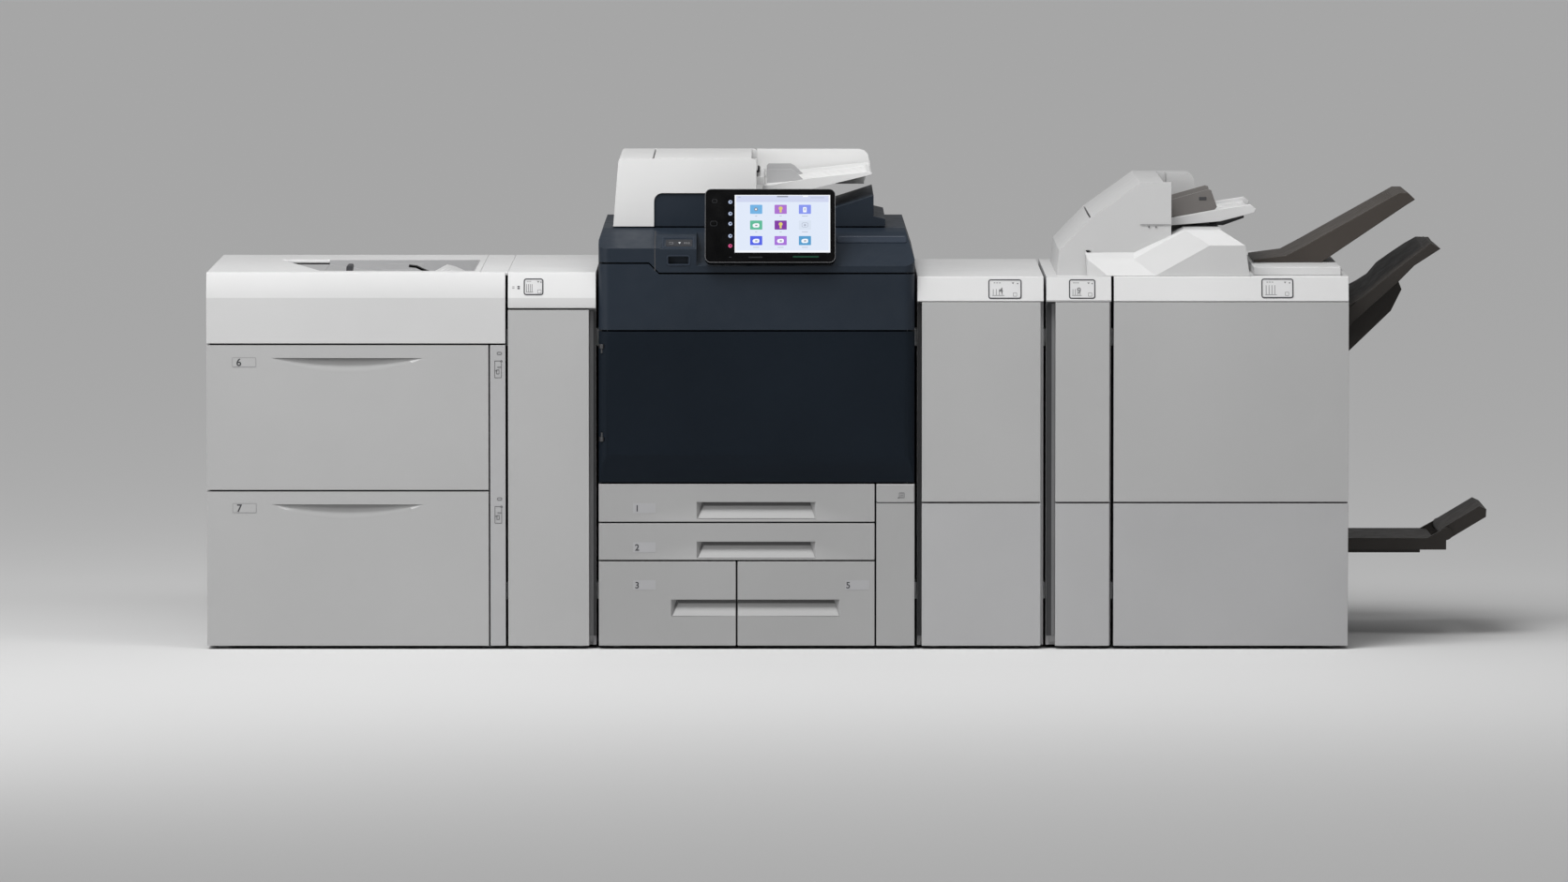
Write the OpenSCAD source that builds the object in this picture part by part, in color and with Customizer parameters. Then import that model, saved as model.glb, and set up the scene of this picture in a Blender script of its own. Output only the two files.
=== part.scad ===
// Digital production printer: a line of docked cabinets with a sheet feeder at the left,
// the print engine in the middle and a stacking finisher at the right.
// Millimetres, +Z up, front towards -Y. The origin is on the floor under the middle of the whole.

/* [Overall] */
// Depth of the cabinets, front covers to back covers
cabinet_depth = 800; // [720:10:880]
// Height of the cabinets above their lower edge
cabinet_h = 880; // [840:10:960]
// Gap between the cabinets' lower edge and the floor
floor_gap = 8; // [6:1:20]
// Gap between neighbouring cabinets
module_gap = 6; // [5:0.5:10]
// Width of the sheet feeder
feeder_w = 703; // [660:5:780]
// Width of the transport module
transport_w = 207; // [190:1:240]
// Width of the print engine
engine_w = 743; // [720:5:800]
// Width of the cooling module
cooler_w = 297; // [260:1:340]
// Width of the inserter
inserter_w = 153; // [145:1:180]
// Width of the finisher
finisher_w = 552; // [520:2:620]

/* [Panels] */
// Thickness of doors and drawer fronts
door_t = 25; // [20:0.5:30]
// Gap between neighbouring doors, drawer fronts and covers
panel_gap = 4; // [4:0.25:6]
// Thickness of the cabinet plates
plate_t = 8; // [5:0.5:12]
// Height of the light band along the top of the cabinets
band_h = 56; // [45:1:70]
// How far the band leans back at its top edge
band_lean = 14; // [6:1:20]
// Height of the top covers of the cooling module, the inserter and the finisher
cover_h = 58; // [56:1:80]
// Height of the lower panels of the cooling module, the inserter and the finisher
skirt_h = 336; // [300:2:380]
// Distance of a hinge pin from both outer faces of its door
hinge_inset = 8; // [6:0.5:10]
// Radius of the hinge pins
pin_r = 2.5; // [1.5:0.1:3.5]
// Radial running clearance of the hinge pins
pin_fit = 0.08; // [0.03:0.01:0.1]

/* [Feeder] */
// Height of the feeder's front cover above the drawers
feeder_cover_h = 167; // [140:1:200]
// Height of the upper feeder drawer's front
upper_drawer_h = 341; // [300:1:360]
// Width of the indicator post beside the drawers
post_w = 36; // [25:1:50]
// Width of a drawer's scooped handle
scoop_w = 361; // [250:1:420]
// Height of a drawer's scooped handle at its middle
scoop_h = 37; // [25:1:45]
// Depth of a drawer's scooped handle
scoop_depth = 20; // [10:0.5:20]
// Depth of the bypass basin below the feeder's top
basin_depth = 62; // [40:1:90]

/* [Engine] */
// How far the engine's dark front stands proud of the cabinets
engine_bulge = 16; // [8:1:30]
// Radius of the engine's upright front edges
engine_edge_r = 26; // [12:1:40]
// Height of the engine's front door
engine_door_h = 356; // [320:1:370]
// Height of the leaning foot of the engine's front door
door_foot_h = 67; // [40:1:100]
// Height of the engine's upper front cover at its right end
upper_cover_h = 131; // [110:1:140]
// Extra height of the upper front cover at its left end
cover_step_h = 24; // [10:1:35]
// Height of tray one's front
tray_one_h = 89; // [80:1:100]
// Height of tray two's front
tray_two_h = 86; // [78:1:100]
// Width of the narrow column beside the trays
column_w = 90; // [70:1:120]
// Width of the handles of trays one and two
tray_handle_w = 280; // [200:1:320]
// Height of the tray handles
tray_handle_h = 39; // [28:1:50]
// Depth of the tray handles
tray_handle_depth = 20; // [10:0.5:20]

/* [Scanner] */
// Height of the scanner deck's top above the cabinets' tops
deck_rise = 99; // [80:1:120]
// Height of the document feeder above the scanner deck
document_feeder_h = 160; // [130:1:190]
// Length of the document feeder's body
document_feeder_w = 338; // [300:1:400]
// Width of the touch screen panel
panel_w = 306; // [260:1:340]
// Height of the touch screen panel along its face
panel_h = 183; // [150:1:200]
// Thickness of the touch screen panel
panel_t = 18; // [12:0.5:24]
// Lean of the touch screen panel away from upright, in degrees
panel_lean = 22; // [10:1:45]

/* [Inserter and finisher] */
// Height of the inserter's head above its cabinet
head_h = 218; // [180:1:260]
// Width of the inserter's head
head_w = 270; // [230:1:300]
// Reach of the inserter's tray beyond its head
inserter_tray_w = 204; // [160:1:230]
// Height of the bridge between inserter and finisher
bridge_h = 97; // [80:1:112]
// Reach of the top exit tray beyond the finisher
top_tray_reach = 170; // [120:1:220]
// Rise of the top exit tray above the finisher's top
top_tray_rise = 166; // [120:1:200]
// Reach of the stacker tray beyond the finisher
stacker_reach = 231; // [180:1:280]
// Rise of the stacker tray from its root to its tip
stacker_rise = 134; // [90:1:180]
// Reach of the booklet tray beyond the finisher
booklet_reach = 250; // [200:1:290]
// Length of the booklet tray's folding flap
booklet_flap_l = 112; // [80:1:140]

/* [Hidden] */
$fn = 48;

// Small gap that keeps neighbouring plates of one piece apart
seam = 0.3;
// Line between the right cabinets' bands and their doors
band_gap = 1.5;
// Overrun of every cut
cut = 1;
// Gap behind doors and drawer fronts
back_gap = 3;
// Steps of an arc in an outline
arc_steps = 8;
// Sideways clearance between a drawer's rail and its runner
rail_fit = 0.3;
// Height and width of the drawer rails
rail_h = 16;
rail_w = 12;
// Walls of drawer boxes
box_t = 3;
// Height and nose radius of the hinge lugs, and how far the pins stand out of them
lug_h = 10;
lug_r = 4.5;
pin_l = 12;

total_w = feeder_w + transport_w + engine_w + cooler_w + inserter_w + finisher_w + 5 * module_gap;
// How far the touch screen stands in front of the cabinets
panel_reach = 40;
// How far the power inlet stands out of the engine's back
inlet_t = 14;
flap_angle = 31;
flap_t = 30;
booklet_end = booklet_reach + booklet_flap_l * cos(flap_angle);
x_start = -(total_w + booklet_end) / 2;
y_front = -(cabinet_depth + panel_reach + inlet_t) / 2 + panel_reach;
y_back = y_front + cabinet_depth;
y_bulge = y_front - engine_bulge;
y_inner = y_front + door_t + back_gap;
z_low = floor_gap;
z_top = floor_gap + cabinet_h;
z_band = z_top - band_h;
// The cabinets right of the engine are a little lower
right_drop = 10;
z_right = z_top - right_drop;

// Left and right sides of each cabinet
feeder_x = [x_start, x_start + feeder_w];
transport_x = [feeder_x[1] + module_gap, feeder_x[1] + module_gap + transport_w];
engine_x = [transport_x[1] + module_gap, transport_x[1] + module_gap + engine_w];
cooler_x = [engine_x[1] + module_gap, engine_x[1] + module_gap + cooler_w];
inserter_x = [cooler_x[1] + module_gap, cooler_x[1] + module_gap + inserter_w];
finisher_x = [inserter_x[1] + module_gap, inserter_x[1] + module_gap + finisher_w];

light = [0.72, 0.72, 0.73];
pale = [0.85, 0.85, 0.85];
navy = [0.07, 0.10, 0.15];
grey = [0.32, 0.32, 0.33];
brown = [0.22, 0.20, 0.19];
steel = [0.6, 0.62, 0.64];

// A box between two corners given as X, Y and Z pairs
module block(x, y, z) {
    translate([x[0], y[0], z[0]]) cube([x[1] - x[0], y[1] - y[0], z[1] - z[0]]);
}
// An outline in Y and Z drawn along X
module prism_x(x, points) {
    translate([x[0], 0, 0]) rotate([90, 0, 90]) linear_extrude(x[1] - x[0]) polygon(points);
}
// An outline in X and Z drawn along Y
module prism_y(y, points) {
    translate([0, y[1], 0]) rotate([90, 0, 0]) linear_extrude(y[1] - y[0]) polygon(points);
}
// An outline in X and Y drawn along Z
module prism_z(z, points) {
    translate([0, 0, z[0]]) linear_extrude(z[1] - z[0]) polygon(points);
}
// A straight rod along X
module rod_x(x, y, z, r) {
    translate([x[0], y, z]) rotate([0, 90, 0]) cylinder(h = x[1] - x[0], r = r);
}
// A straight rod along Y
module rod_y(x, y, z, r) {
    translate([x, y[1], z]) rotate([90, 0, 0]) cylinder(h = y[1] - y[0], r = r);
}
// Points of an arc round a centre
function arc(c, r, a0, a1) = [for (i = [0:arc_steps])
    let (a = a0 + (a1 - a0) * i / arc_steps) [c[0] + r * cos(a), c[1] + r * sin(a)]];
// A rectangle with round corners
function round_rect(u, v, r) = concat(arc([u[0] + r, v[0] + r], r, 180, 270),
    arc([u[1] - r, v[0] + r], r, 270, 360), arc([u[1] - r, v[1] - r], r, 0, 90),
    arc([u[0] + r, v[1] - r], r, 90, 180));
// A plan with round front corners
function round_front(x, y, r) = concat([[x[0], y[1]]], arc([x[0] + r, y[0] + r], r, 180, 270),
    arc([x[1] - r, y[0] + r], r, 270, 360), [[x[1], y[1]]]);
// Points given as shares of a rectangle
function spread(u, v, shares) = [for (s = shares) [u[0] + s[0] * (u[1] - u[0]),
    v[0] + s[1] * (v[1] - v[0])]];
// A range shrunk by one amount at both ends
function inset(v, d) = [v[0] + d, v[1] - d];

// The side, back and base plates of a cabinet, each a plate of its own
module cabinet_plates(x, z1, y0 = y_inner) {
    block([x[0], x[0] + plate_t], [y0, y_back], [z_low, z1]);
    block([x[1] - plate_t, x[1]], [y0, y_back], [z_low, z1]);
    block([x[0] + plate_t + seam, x[1] - plate_t - seam], [y_back - plate_t, y_back], [z_low, z1]);
    block([x[0] + plate_t + seam, x[1] - plate_t - seam], [y0 + plate_t + seam, y_back - plate_t - seam],
        [z_low, z_low + plate_t]);
}
// The plate behind a door
module bulkhead(x, z) {
    block([x[0] + plate_t + seam, x[1] - plate_t - seam], [y_inner, y_inner + plate_t], z);
}

// A door's hinge lug with its pin, reaching forward from the plate behind the door
module hinge_lug(x, yf, z, up) {
    y = yf + hinge_inset;
    translate([x, y, z]) cylinder(h = lug_h, r = lug_r);
    block([x - lug_r, x + lug_r], [y, y_inner - seam], [z, z + lug_h]);
    translate([x, y, up ? z + lug_h - cut : z + cut - pin_l]) cylinder(h = pin_l, r = pin_r);
}
// Notches and bores of a door for its two hinge lugs; low and high are the lugs' undersides
module hinge_cuts(x, yf, low, high, side) {
    y = yf + hinge_inset;
    for (z = [low, high]) {
        block([side > 0 ? x - 2 * hinge_inset : x - 3 * lug_r,
            side > 0 ? x + 3 * lug_r : x + 2 * hinge_inset], [y - lug_r - rail_fit, yf + door_t + cut],
            [z - rail_fit, z + lug_h + rail_fit]);
    }
    translate([x, y, low + lug_h]) cylinder(h = pin_l + cut, r = pin_r + pin_fit);
    translate([x, y, high - pin_l - cut]) cylinder(h = pin_l + cut, r = pin_r + pin_fit);
}
// Heights of the two lugs' undersides on a door between two heights
function lug_low(z) = z[0] + 3 * lug_h;
function lug_high(z) = z[1] - 4 * lug_h;
module hinge_lugs(x, yf, z) {
    hinge_lug(x, yf, lug_low(z), true);
    hinge_lug(x, yf, lug_high(z), false);
}
// A flat cabinet door hinged at its left side, or at its right side when side is -1
module flat_door(x, z, side) {
    hx = side > 0 ? x[0] + hinge_inset : x[1] - hinge_inset;
    difference() {
        block(x, [y_front, y_front + door_t], z);
        hinge_cuts(hx, y_front, lug_low(z), lug_high(z), side);
    }
}
// A top cover whose front band leans back
module band_cover(x, z0, z1 = z_top) {
    prism_x(x, [[y_front, z0], [y_front, z1 - band_h], [y_front + band_lean, z1], [y_back, z1],
        [y_back, z1 - plate_t], [y_front + door_t, z1 - plate_t], [y_front + door_t, z0]]);
}

// Feeder
feeder_cover_z = z_top - feeder_cover_h;
drawer_x = [feeder_x[0], feeder_x[1] - post_w - panel_gap];
upper_z = [feeder_cover_z - panel_gap - upper_drawer_h, feeder_cover_z - panel_gap];
lower_z = [z_low, upper_z[0] - panel_gap];
scoop_drop = 30;
basin_x = [feeder_x[0] + 0.22 * feeder_w, feeder_x[1] - 0.105 * feeder_w];
basin_y = [y_front + 0.1 * cabinet_depth, y_front + 0.72 * cabinet_depth];
basin_slant_share = 0.16;
basin_t = 3;
basin_floor_z = z_top - basin_depth;
basin_left_z = z_top - plate_t - basin_t;
cover_end = 60;

module feeder_cabinet() color(light) {
    cabinet_plates(feeder_x, z_top - plate_t - seam);
    block([drawer_x[1] + panel_gap, feeder_x[1]], [y_front, y_inner - seam],
        [z_low, feeder_cover_z - panel_gap]);
    // Inner plate that carries the drawers' right runners
    block([feeder_walls[1], feeder_walls[1] + plate_t], [y_inner, y_back - plate_t - seam],
        [z_low + plate_t + seam, feeder_cover_z - panel_gap]);
}
// The outline of the basin in plan, slanted at its left end
basin_outline = [[basin_x[0], basin_y[1]], [basin_x[0] + basin_slant_share * feeder_w, basin_y[0]],
    [basin_x[1], basin_y[0]], [basin_x[1], basin_y[1]]];
module feeder_top_cover() color(pale) difference() {
    union() {
        band_cover([feeder_x[0], feeder_x[1] - cover_end], feeder_cover_z);
        prism_x([feeder_x[1] - cover_end, feeder_x[1]],
            [[y_front, feeder_cover_z], [y_front, z_band], [y_front + band_lean, z_top],
            [y_front + door_t, z_top], [y_front + door_t, feeder_cover_z]]);
    }
    prism_z([feeder_cover_z + door_t, z_top + cut], basin_outline);
}
// The sloping floor, the three upright walls and the shallow slanted end of the basin
module bypass_tray() color(grey) {
    y = inset(basin_y, seam);
    x1 = basin_x[1] - seam;
    x0 = basin_x[0] + basin_slant_share * feeder_w;
    prism_y(inset(y, basin_t + seam), [[x0, basin_left_z], [x0, basin_left_z - basin_t],
        [x1 - basin_t - seam, basin_floor_z], [x1 - basin_t - seam, basin_floor_z + basin_t]]);
    for (wy = [y[0], y[1] - basin_t])
        block([x0, x1], [wy, wy + basin_t], [basin_floor_z, z_top - seam]);
    block([x1 - basin_t, x1], inset(y, basin_t + seam), [basin_floor_z, z_top - seam]);
    prism_z([basin_left_z - basin_t, basin_left_z],
        [[basin_x[0] + plate_t, y[1] - seam], [x0 - seam, y[0] + plate_t], [x0 - seam, y[1] - seam]]);
}
head_shares = [[0, 0], [0.12, 0.55], [0.42, 1], [0.62, 0.85], [1, 0.35], [1, 0]];
head_x = [basin_x[1] - 0.17 * feeder_w, basin_x[1] - 0.02 * feeder_w];
head_y = [basin_y[0] + 0.3 * (basin_y[1] - basin_y[0]), basin_y[0] + 0.7 * (basin_y[1] - basin_y[0])];
head_lift = 22;
feed_roller_r = 15;
feed_shaft_r = 4;
module bypass_feed_head() color(pale) {
    z0 = basin_floor_z + head_lift;
    prism_y(head_y, spread(head_x, [z0, z_top - basin_t], head_shares));
    x = head_x[1] - 2 * feed_shaft_r;
    rod_y(x, inset(basin_y, basin_t + 2 * seam), z0, feed_shaft_r);
    rod_y(x, [(head_y[0] + head_y[1]) / 2 - feed_roller_r, (head_y[0] + head_y[1]) / 2 + feed_roller_r],
        z0, feed_roller_r);
}
// A side guide of the bypass: an upright fence on a foot that lies on the sloping floor
guide_x = [basin_x[0] + basin_slant_share * feeder_w + 0.2 * feeder_w, head_x[0] - 0.02 * feeder_w];

guide_t = 3;
guide_foot = 50;
function floor_z(x) = basin_left_z + (basin_floor_z + basin_t - basin_left_z)
    * (x - basin_x[0] - basin_slant_share * feeder_w)
        / (basin_x[1] - basin_x[0] - basin_slant_share * feeder_w);
module guide(y, side) {
    z0 = [for (x = guide_x) floor_z(x) + rail_fit];
    prism_y([y, y + guide_t], [[guide_x[0], z0[0]], [guide_x[1], z0[1]], [guide_x[1], z_top - guide_t],
        [guide_x[0], z_top - guide_t]]);
    prism_y(side > 0 ? [y + guide_t, y + guide_foot] : [y + guide_t - guide_foot, y],
        [[guide_x[0], z0[0]], [guide_x[1], z0[1]], [guide_x[1], z0[1] + guide_t],
        [guide_x[0], z0[0] + guide_t]]);
}
module bypass_guide_front() color(grey) guide(basin_y[0] + 0.22 * (basin_y[1] - basin_y[0]), 1);
module bypass_guide_rear() color(grey) guide(basin_y[0] + 0.78 * (basin_y[1] - basin_y[0]) - guide_t, -1);

// A feeder drawer's front with its scooped handle, cut by a leaning cylinder under a flat edge
module scoop_front(z) {
    xc = (drawer_x[0] + drawer_x[1]) / 2;
    tilt = atan2(scoop_depth, scoop_h);
    sag = scoop_h * sin(tilt);
    r = (scoop_w * scoop_w / 4 + sag * sag) / (2 * sag);
    z1 = z[1] - scoop_drop;
    difference() {
        block(drawer_x, [y_front, y_front + door_t], z);
        intersection() {
            translate([xc, y_front, z1 - scoop_h]) rotate([-tilt, 0, 0])
                translate([0, -r, -scoop_w]) cylinder(h = 2 * scoop_w, r = r, $fn = 96);
            block([xc - scoop_w, xc + scoop_w], [y_front - cut, y_front + door_t],
                [z1 - scoop_h - cut, z1]);
        }
    }
}
// A drawer box of five plates with a rail on each side, open at its top and behind a front of height z
module drawer_box(x, z, length) {
    y = [y_inner - back_gap + seam, y_inner + length];
    block(x, y, [z[0], z[0] + box_t]);
    for (sx = [x[0], x[1] - box_t])
        block([sx, sx + box_t], y, [z[0] + box_t + seam, z[1]]);
    for (sy = [y[0], y[1] - box_t])
        block([x[0] + box_t + seam, x[1] - box_t - seam], [sy, sy + box_t], [z[0] + box_t + seam, z[1]]);
    for (sx = [x[0] - rail_w + rail_fit, x[1] + seam])
        block([sx, sx + rail_w - rail_fit - seam], [y_inner + plate_t, y[1]], [z[1] - rail_h, z[1]]);
}
// The pair of fixed runners under a drawer's rails; walls are the inner faces of the cabinet's sides
module runners(walls, z1, length) {
    for (x = [[walls[0], walls[0] + rail_w], [walls[1] - rail_w, walls[1]]])
        block(x, [y_inner + plate_t, y_inner + length],
            [z1 - 2 * rail_h - rail_fit, z1 - rail_h - rail_fit]);
}
drawer_l = 0.8 * cabinet_depth;
drawer_clear = 20;
feeder_walls = [feeder_x[0] + plate_t, feeder_x[1] - post_w - plate_t];
feeder_box_x = inset(feeder_walls, rail_w + rail_fit);
upper_box_z = [upper_z[0] + drawer_clear, upper_z[1] - drawer_clear];
lower_box_z = [lower_z[0] + 2 * drawer_clear, lower_z[1] - drawer_clear];
module upper_drawer_front() color(light) scoop_front(upper_z);
module upper_drawer_tray() color(grey) drawer_box(feeder_box_x, upper_box_z, drawer_l);
module lower_drawer_front() color(light) scoop_front(lower_z);
module lower_drawer_tray() color(grey) drawer_box(feeder_box_x, lower_box_z, drawer_l);

// Transport module
recess_w = 17;
transport_door_z = [z_low, z_top - 0.1 * cabinet_h];
module transport_cabinet() color(light) {
    cabinet_plates(transport_x, z_top - plate_t - seam);
    bulkhead(transport_x, [z_low + plate_t + seam, z_top - plate_t - seam]);
    hinge_lugs(transport_x[0] + hinge_inset, y_front, transport_door_z);
}
module transport_top_cover() color(pale) {
    band_cover(transport_x, transport_door_z[1] + panel_gap + seam);
    block([feeder_x[1] - cover_end + seam, transport_x[0] - seam], [y_front + door_t + seam, y_back],
        [z_top - plate_t, z_top]);
}
module transport_door() color(light) flat_door([transport_x[0], transport_x[1] - recess_w],
    transport_door_z, 1);
roller_r = 14;
roller_shaft_r = 5;
module transport_rollers() color(grey) {
    for (s = [0.3, 0.5, 0.7, 0.85], side = [-1, 1]) {
        x = (transport_x[0] + transport_x[1]) / 2 + side * (roller_r + seam / 2);
        z = z_low + s * cabinet_h;
        rod_y(x, [y_inner + plate_t, y_back - plate_t], z, roller_shaft_r);
        for (t = [0.3, 0.5, 0.7])
            rod_y(x, [y_front + t * cabinet_depth, y_front + t * cabinet_depth + 3 * roller_r], z,
                roller_r);
    }
}

// Engine
trays_x = [engine_x[0], engine_x[1] - column_w - panel_gap];
deck_lap = 3;
engine_foot_z = z_low + cabinet_h - upper_cover_h - engine_door_h - panel_gap - deck_lap;
engine_door_z = [engine_foot_z, engine_foot_z + engine_door_h];
tray_one_z = [engine_foot_z - panel_gap - tray_one_h, engine_foot_z - panel_gap];
tray_two_z = [tray_one_z[0] - panel_gap - tray_two_h, tray_one_z[0] - panel_gap];
tray_three_z = [z_low, tray_two_z[0] - panel_gap];
upper_z0 = engine_door_z[1] + panel_gap;
upper_z1 = upper_z0 + upper_cover_h;
y_deck = y_inner + plate_t;
shelf_t = 4;
belt_shelf_z = engine_door_z[0] + 0.42 * engine_door_h;
engine_in = inset(engine_x, plate_t + seam);
engine_top_z = upper_z1 + panel_gap - seam;
y_tilt = y_bulge + hinge_inset;
z_tilt = upper_z0 + hinge_inset;
toner_shelf_z = z_tilt - lug_r - seam - shelf_t;
tilt_lug_x = [engine_x[0] + 4 * lug_h, engine_x[1] - 5 * lug_h];

module engine_frame() color(navy) {
    block([engine_x[0], engine_x[0] + plate_t], [y_inner, y_back], [z_low, engine_top_z + cover_step_h]);
    block([engine_x[1] - plate_t, engine_x[1]], [y_inner, y_back], [z_low, engine_top_z]);
    block(engine_in, [y_back - plate_t, y_back], [z_low, engine_top_z]);
    for (z = [z_low, engine_foot_z + shelf_t, belt_shelf_z, toner_shelf_z, engine_top_z - shelf_t])
        block(engine_in, [y_deck, y_back - plate_t - seam], [z, z + shelf_t]);
    // Filler under the raised left end of the scanner deck
    block([engine_in[0], step_x[0] - deck_lap], [y_deck, y_back],
        [engine_top_z + seam, engine_top_z + cover_step_h]);
    // Upright plate between the trays and the narrow column
    block([trays_x[1] - plate_t, trays_x[1]], [y_inner, y_back - plate_t - seam],
        [z_low + shelf_t + seam, engine_foot_z + shelf_t - seam]);
    // Upright plate between trays three and five
    mid = (trays_x[0] + trays_x[1]) / 2;
    block([mid - shelf_t, mid + shelf_t], [y_deck, y_back - plate_t - seam],
        [z_low + shelf_t + seam, tray_three_z[1]]);
    hinge_lugs(engine_x[0] + hinge_inset, y_bulge, [engine_door_z[0] + door_foot_h, engine_door_z[1]]);
    for (x = tilt_lug_x) {
        translate([x, y_tilt, z_tilt]) rotate([0, 90, 0]) cylinder(h = lug_h, r = lug_r);
        block([x, x + lug_h], [y_tilt, y_deck + lug_h], [z_tilt - lug_r, z_tilt + lug_r]);
        translate([x - pin_l / 2, y_tilt, z_tilt]) rotate([0, 90, 0]) cylinder(h = lug_h + pin_l,
            r = pin_r);
    }
}
// The front door: a plan with round edges, cut to a side profile that leans back at its foot
module engine_front_door() color(navy) difference() {
    intersection() {
        prism_z(engine_door_z, round_front(engine_x, [y_bulge, y_bulge + door_t + engine_edge_r],
            engine_edge_r));
        prism_x(engine_x, [[y_bulge, engine_door_z[1]], [y_bulge, engine_door_z[0] + door_foot_h],
            [y_front, engine_door_z[0]], [y_front + door_t, engine_door_z[0]],
            [y_front + door_t, engine_door_z[0] + door_foot_h - door_t],
            [y_bulge + door_t, engine_door_z[0] + door_foot_h], [y_bulge + door_t, engine_door_z[1]]]);
    }
    hinge_cuts(engine_x[0] + hinge_inset, y_bulge, lug_low([engine_door_z[0] + door_foot_h, 0]),
        lug_high(engine_door_z), 1);
}
step_x = [engine_x[0] + 0.16 * engine_w, engine_x[0] + 0.192 * engine_w];
module upper_front_cover() color(navy) difference() {
    intersection() {
        prism_z([upper_z0, upper_z1 + cover_step_h],
            round_front(engine_x, [y_bulge, y_bulge + door_t + engine_edge_r], engine_edge_r));
        prism_y([y_bulge, y_bulge + door_t], [[engine_x[0], upper_z0], [engine_x[1], upper_z0],
            [engine_x[1], upper_z1], [step_x[1], upper_z1], [step_x[0], upper_z1 + cover_step_h],
            [engine_x[0], upper_z1 + cover_step_h]]);
    }
    for (x = tilt_lug_x) {
        block([x - rail_fit, x + lug_h + rail_fit], [y_tilt - lug_r - rail_fit, y_bulge + door_t + cut],
            [upper_z0 - cut, z_tilt + 3 * lug_r]);
        translate([x - pin_l / 2 - cut, y_tilt, z_tilt]) rotate([0, 90, 0])
            cylinder(h = lug_h + pin_l + 2 * cut, r = pin_r + pin_fit);
    }
}
toner_w = 0.19 * engine_w;
toner_h = 0.78 * upper_cover_h;
toner_edge = 16;
toner_l = 0.6 * cabinet_depth;
toner_grip = 12;
colours = 4;
module toner_cartridges() for (i = [0:colours - 1]) {
    x0 = engine_in[0] + plate_t + i * (toner_w + plate_t);
    z0 = toner_shelf_z + shelf_t + seam;
    color([grey, "cyan", "magenta", "gold"][i]) {
        prism_y([y_deck + toner_grip, y_deck + toner_l],
            round_rect([x0, x0 + toner_w], [z0, z0 + toner_h], toner_edge));
        prism_y([y_deck, y_deck + toner_grip - seam],
            round_rect([x0 + toner_w / 3, x0 + 2 * toner_w / 3], [z0 + toner_h / 3, z0 + 2 * toner_h / 3],
            toner_grip));
    }
}
belt_h = 0.16 * engine_door_h;
belt_x = [engine_in[0] + 0.05 * engine_w, engine_in[0] + 0.75 * engine_w];
belt_z = belt_shelf_z + shelf_t + seam;
module transfer_belt_unit() color(grey)
    prism_y([y_deck + toner_grip, y_deck + toner_l],
        round_rect(belt_x, [belt_z, belt_z + belt_h], 0.49 * belt_h));
drum_r = 0.1 * engine_door_h;
drum_shaft_r = 6;
module drum_units() color(steel) for (i = [0:colours - 1]) {
    x = belt_x[0] + belt_h / 2 + drum_r + i * (belt_x[1] - belt_x[0] - belt_h - 2 * drum_r)
        / (colours - 1);
    z = belt_z + belt_h + seam + drum_r;
    rod_y(x, [y_deck + toner_grip, y_deck + toner_l], z, drum_r);
    rod_y(x, [y_deck, y_deck + toner_grip - seam], z, drum_shaft_r);
}
fuser_w = 0.16 * engine_w;
fuser_h = 0.4 * engine_door_h;
module fuser_unit() color(grey) {
    x = [engine_in[1] - fuser_w - plate_t, engine_in[1] - plate_t];
    block(x, [y_deck, y_deck + toner_l], [belt_z, belt_z + fuser_h]);
    prism_z([belt_z + fuser_h / 3, belt_z + fuser_h / 2],
        [[x[0] + toner_edge, y_deck - seam], [x[0] + toner_edge, y_deck - toner_grip],
        [x[1] - toner_edge, y_deck - toner_grip], [x[1] - toner_edge, y_deck - seam]]);
}

// Paper trays: fronts with wedge handles, and boxes on runners
tray_handle_inset = 13;
tray_handle_foot = 7;
module wedge_handle(x, z0, ends) {
    z = [z0, z0 + tray_handle_h];
    intersection() {
        prism_x(x, [[y_front - cut, z[0]], [y_front - cut, z[1]], [y_front + tray_handle_depth, z[1]],
            [y_front, z[0]]]);
        prism_z(z, [[x[0], y_front - cut], [x[1], y_front - cut], [x[1], y_front],
            [x[1] - ends[1] * tray_handle_inset, y_front + tray_handle_depth],
            [x[0] + ends[0] * tray_handle_inset, y_front + tray_handle_depth], [x[0], y_front]]);
    }
}
module tray_front(x, z, handle_x, handle_z, ends) difference() {
    block(x, [y_front, y_front + door_t], z);
    wedge_handle(handle_x, handle_z, ends);
}
tray_mid = (trays_x[0] + trays_x[1]) / 2;
handle_x = [trays_x[0] + 0.355 * (trays_x[1] - trays_x[0]),
    trays_x[0] + 0.355 * (trays_x[1] - trays_x[0]) + tray_handle_w];
wide_x = [trays_x[0] + 0.262 * (trays_x[1] - trays_x[0]), trays_x[0] + 0.874 * (trays_x[1] - trays_x[0])];
wide_z = tray_three_z[0] + 0.35 * (tray_three_z[1] - tray_three_z[0]);
left_x = [trays_x[0], tray_mid - panel_gap / 2];
right_x = [tray_mid + panel_gap / 2, trays_x[1]];
tray_walls = [engine_in[0], trays_x[1] - plate_t];
left_walls = [engine_in[0], tray_mid - shelf_t];
right_walls = [tray_mid + shelf_t, trays_x[1] - plate_t];
tray_l = 0.62 * cabinet_depth;
tray_lid = 6;
function box_range(z) = [z[0] + 2 * tray_lid, z[1] - tray_lid];
module tray_1_front() color(light) tray_front(trays_x, tray_one_z, handle_x,
    tray_one_z[0] + tray_handle_foot, [1, 1]);
module tray_2_front() color(light) tray_front(trays_x, tray_two_z, handle_x,
    tray_two_z[0] + tray_handle_foot / 2, [1, 1]);
module tray_3_front() color(light) tray_front(left_x, tray_three_z, [wide_x[0], left_x[1] + cut], wide_z,
    [1, 0]);
module tray_5_front() color(light) tray_front(right_x, tray_three_z, [right_x[0] - cut, wide_x[1]],
    wide_z, [0, 1]);
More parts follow.
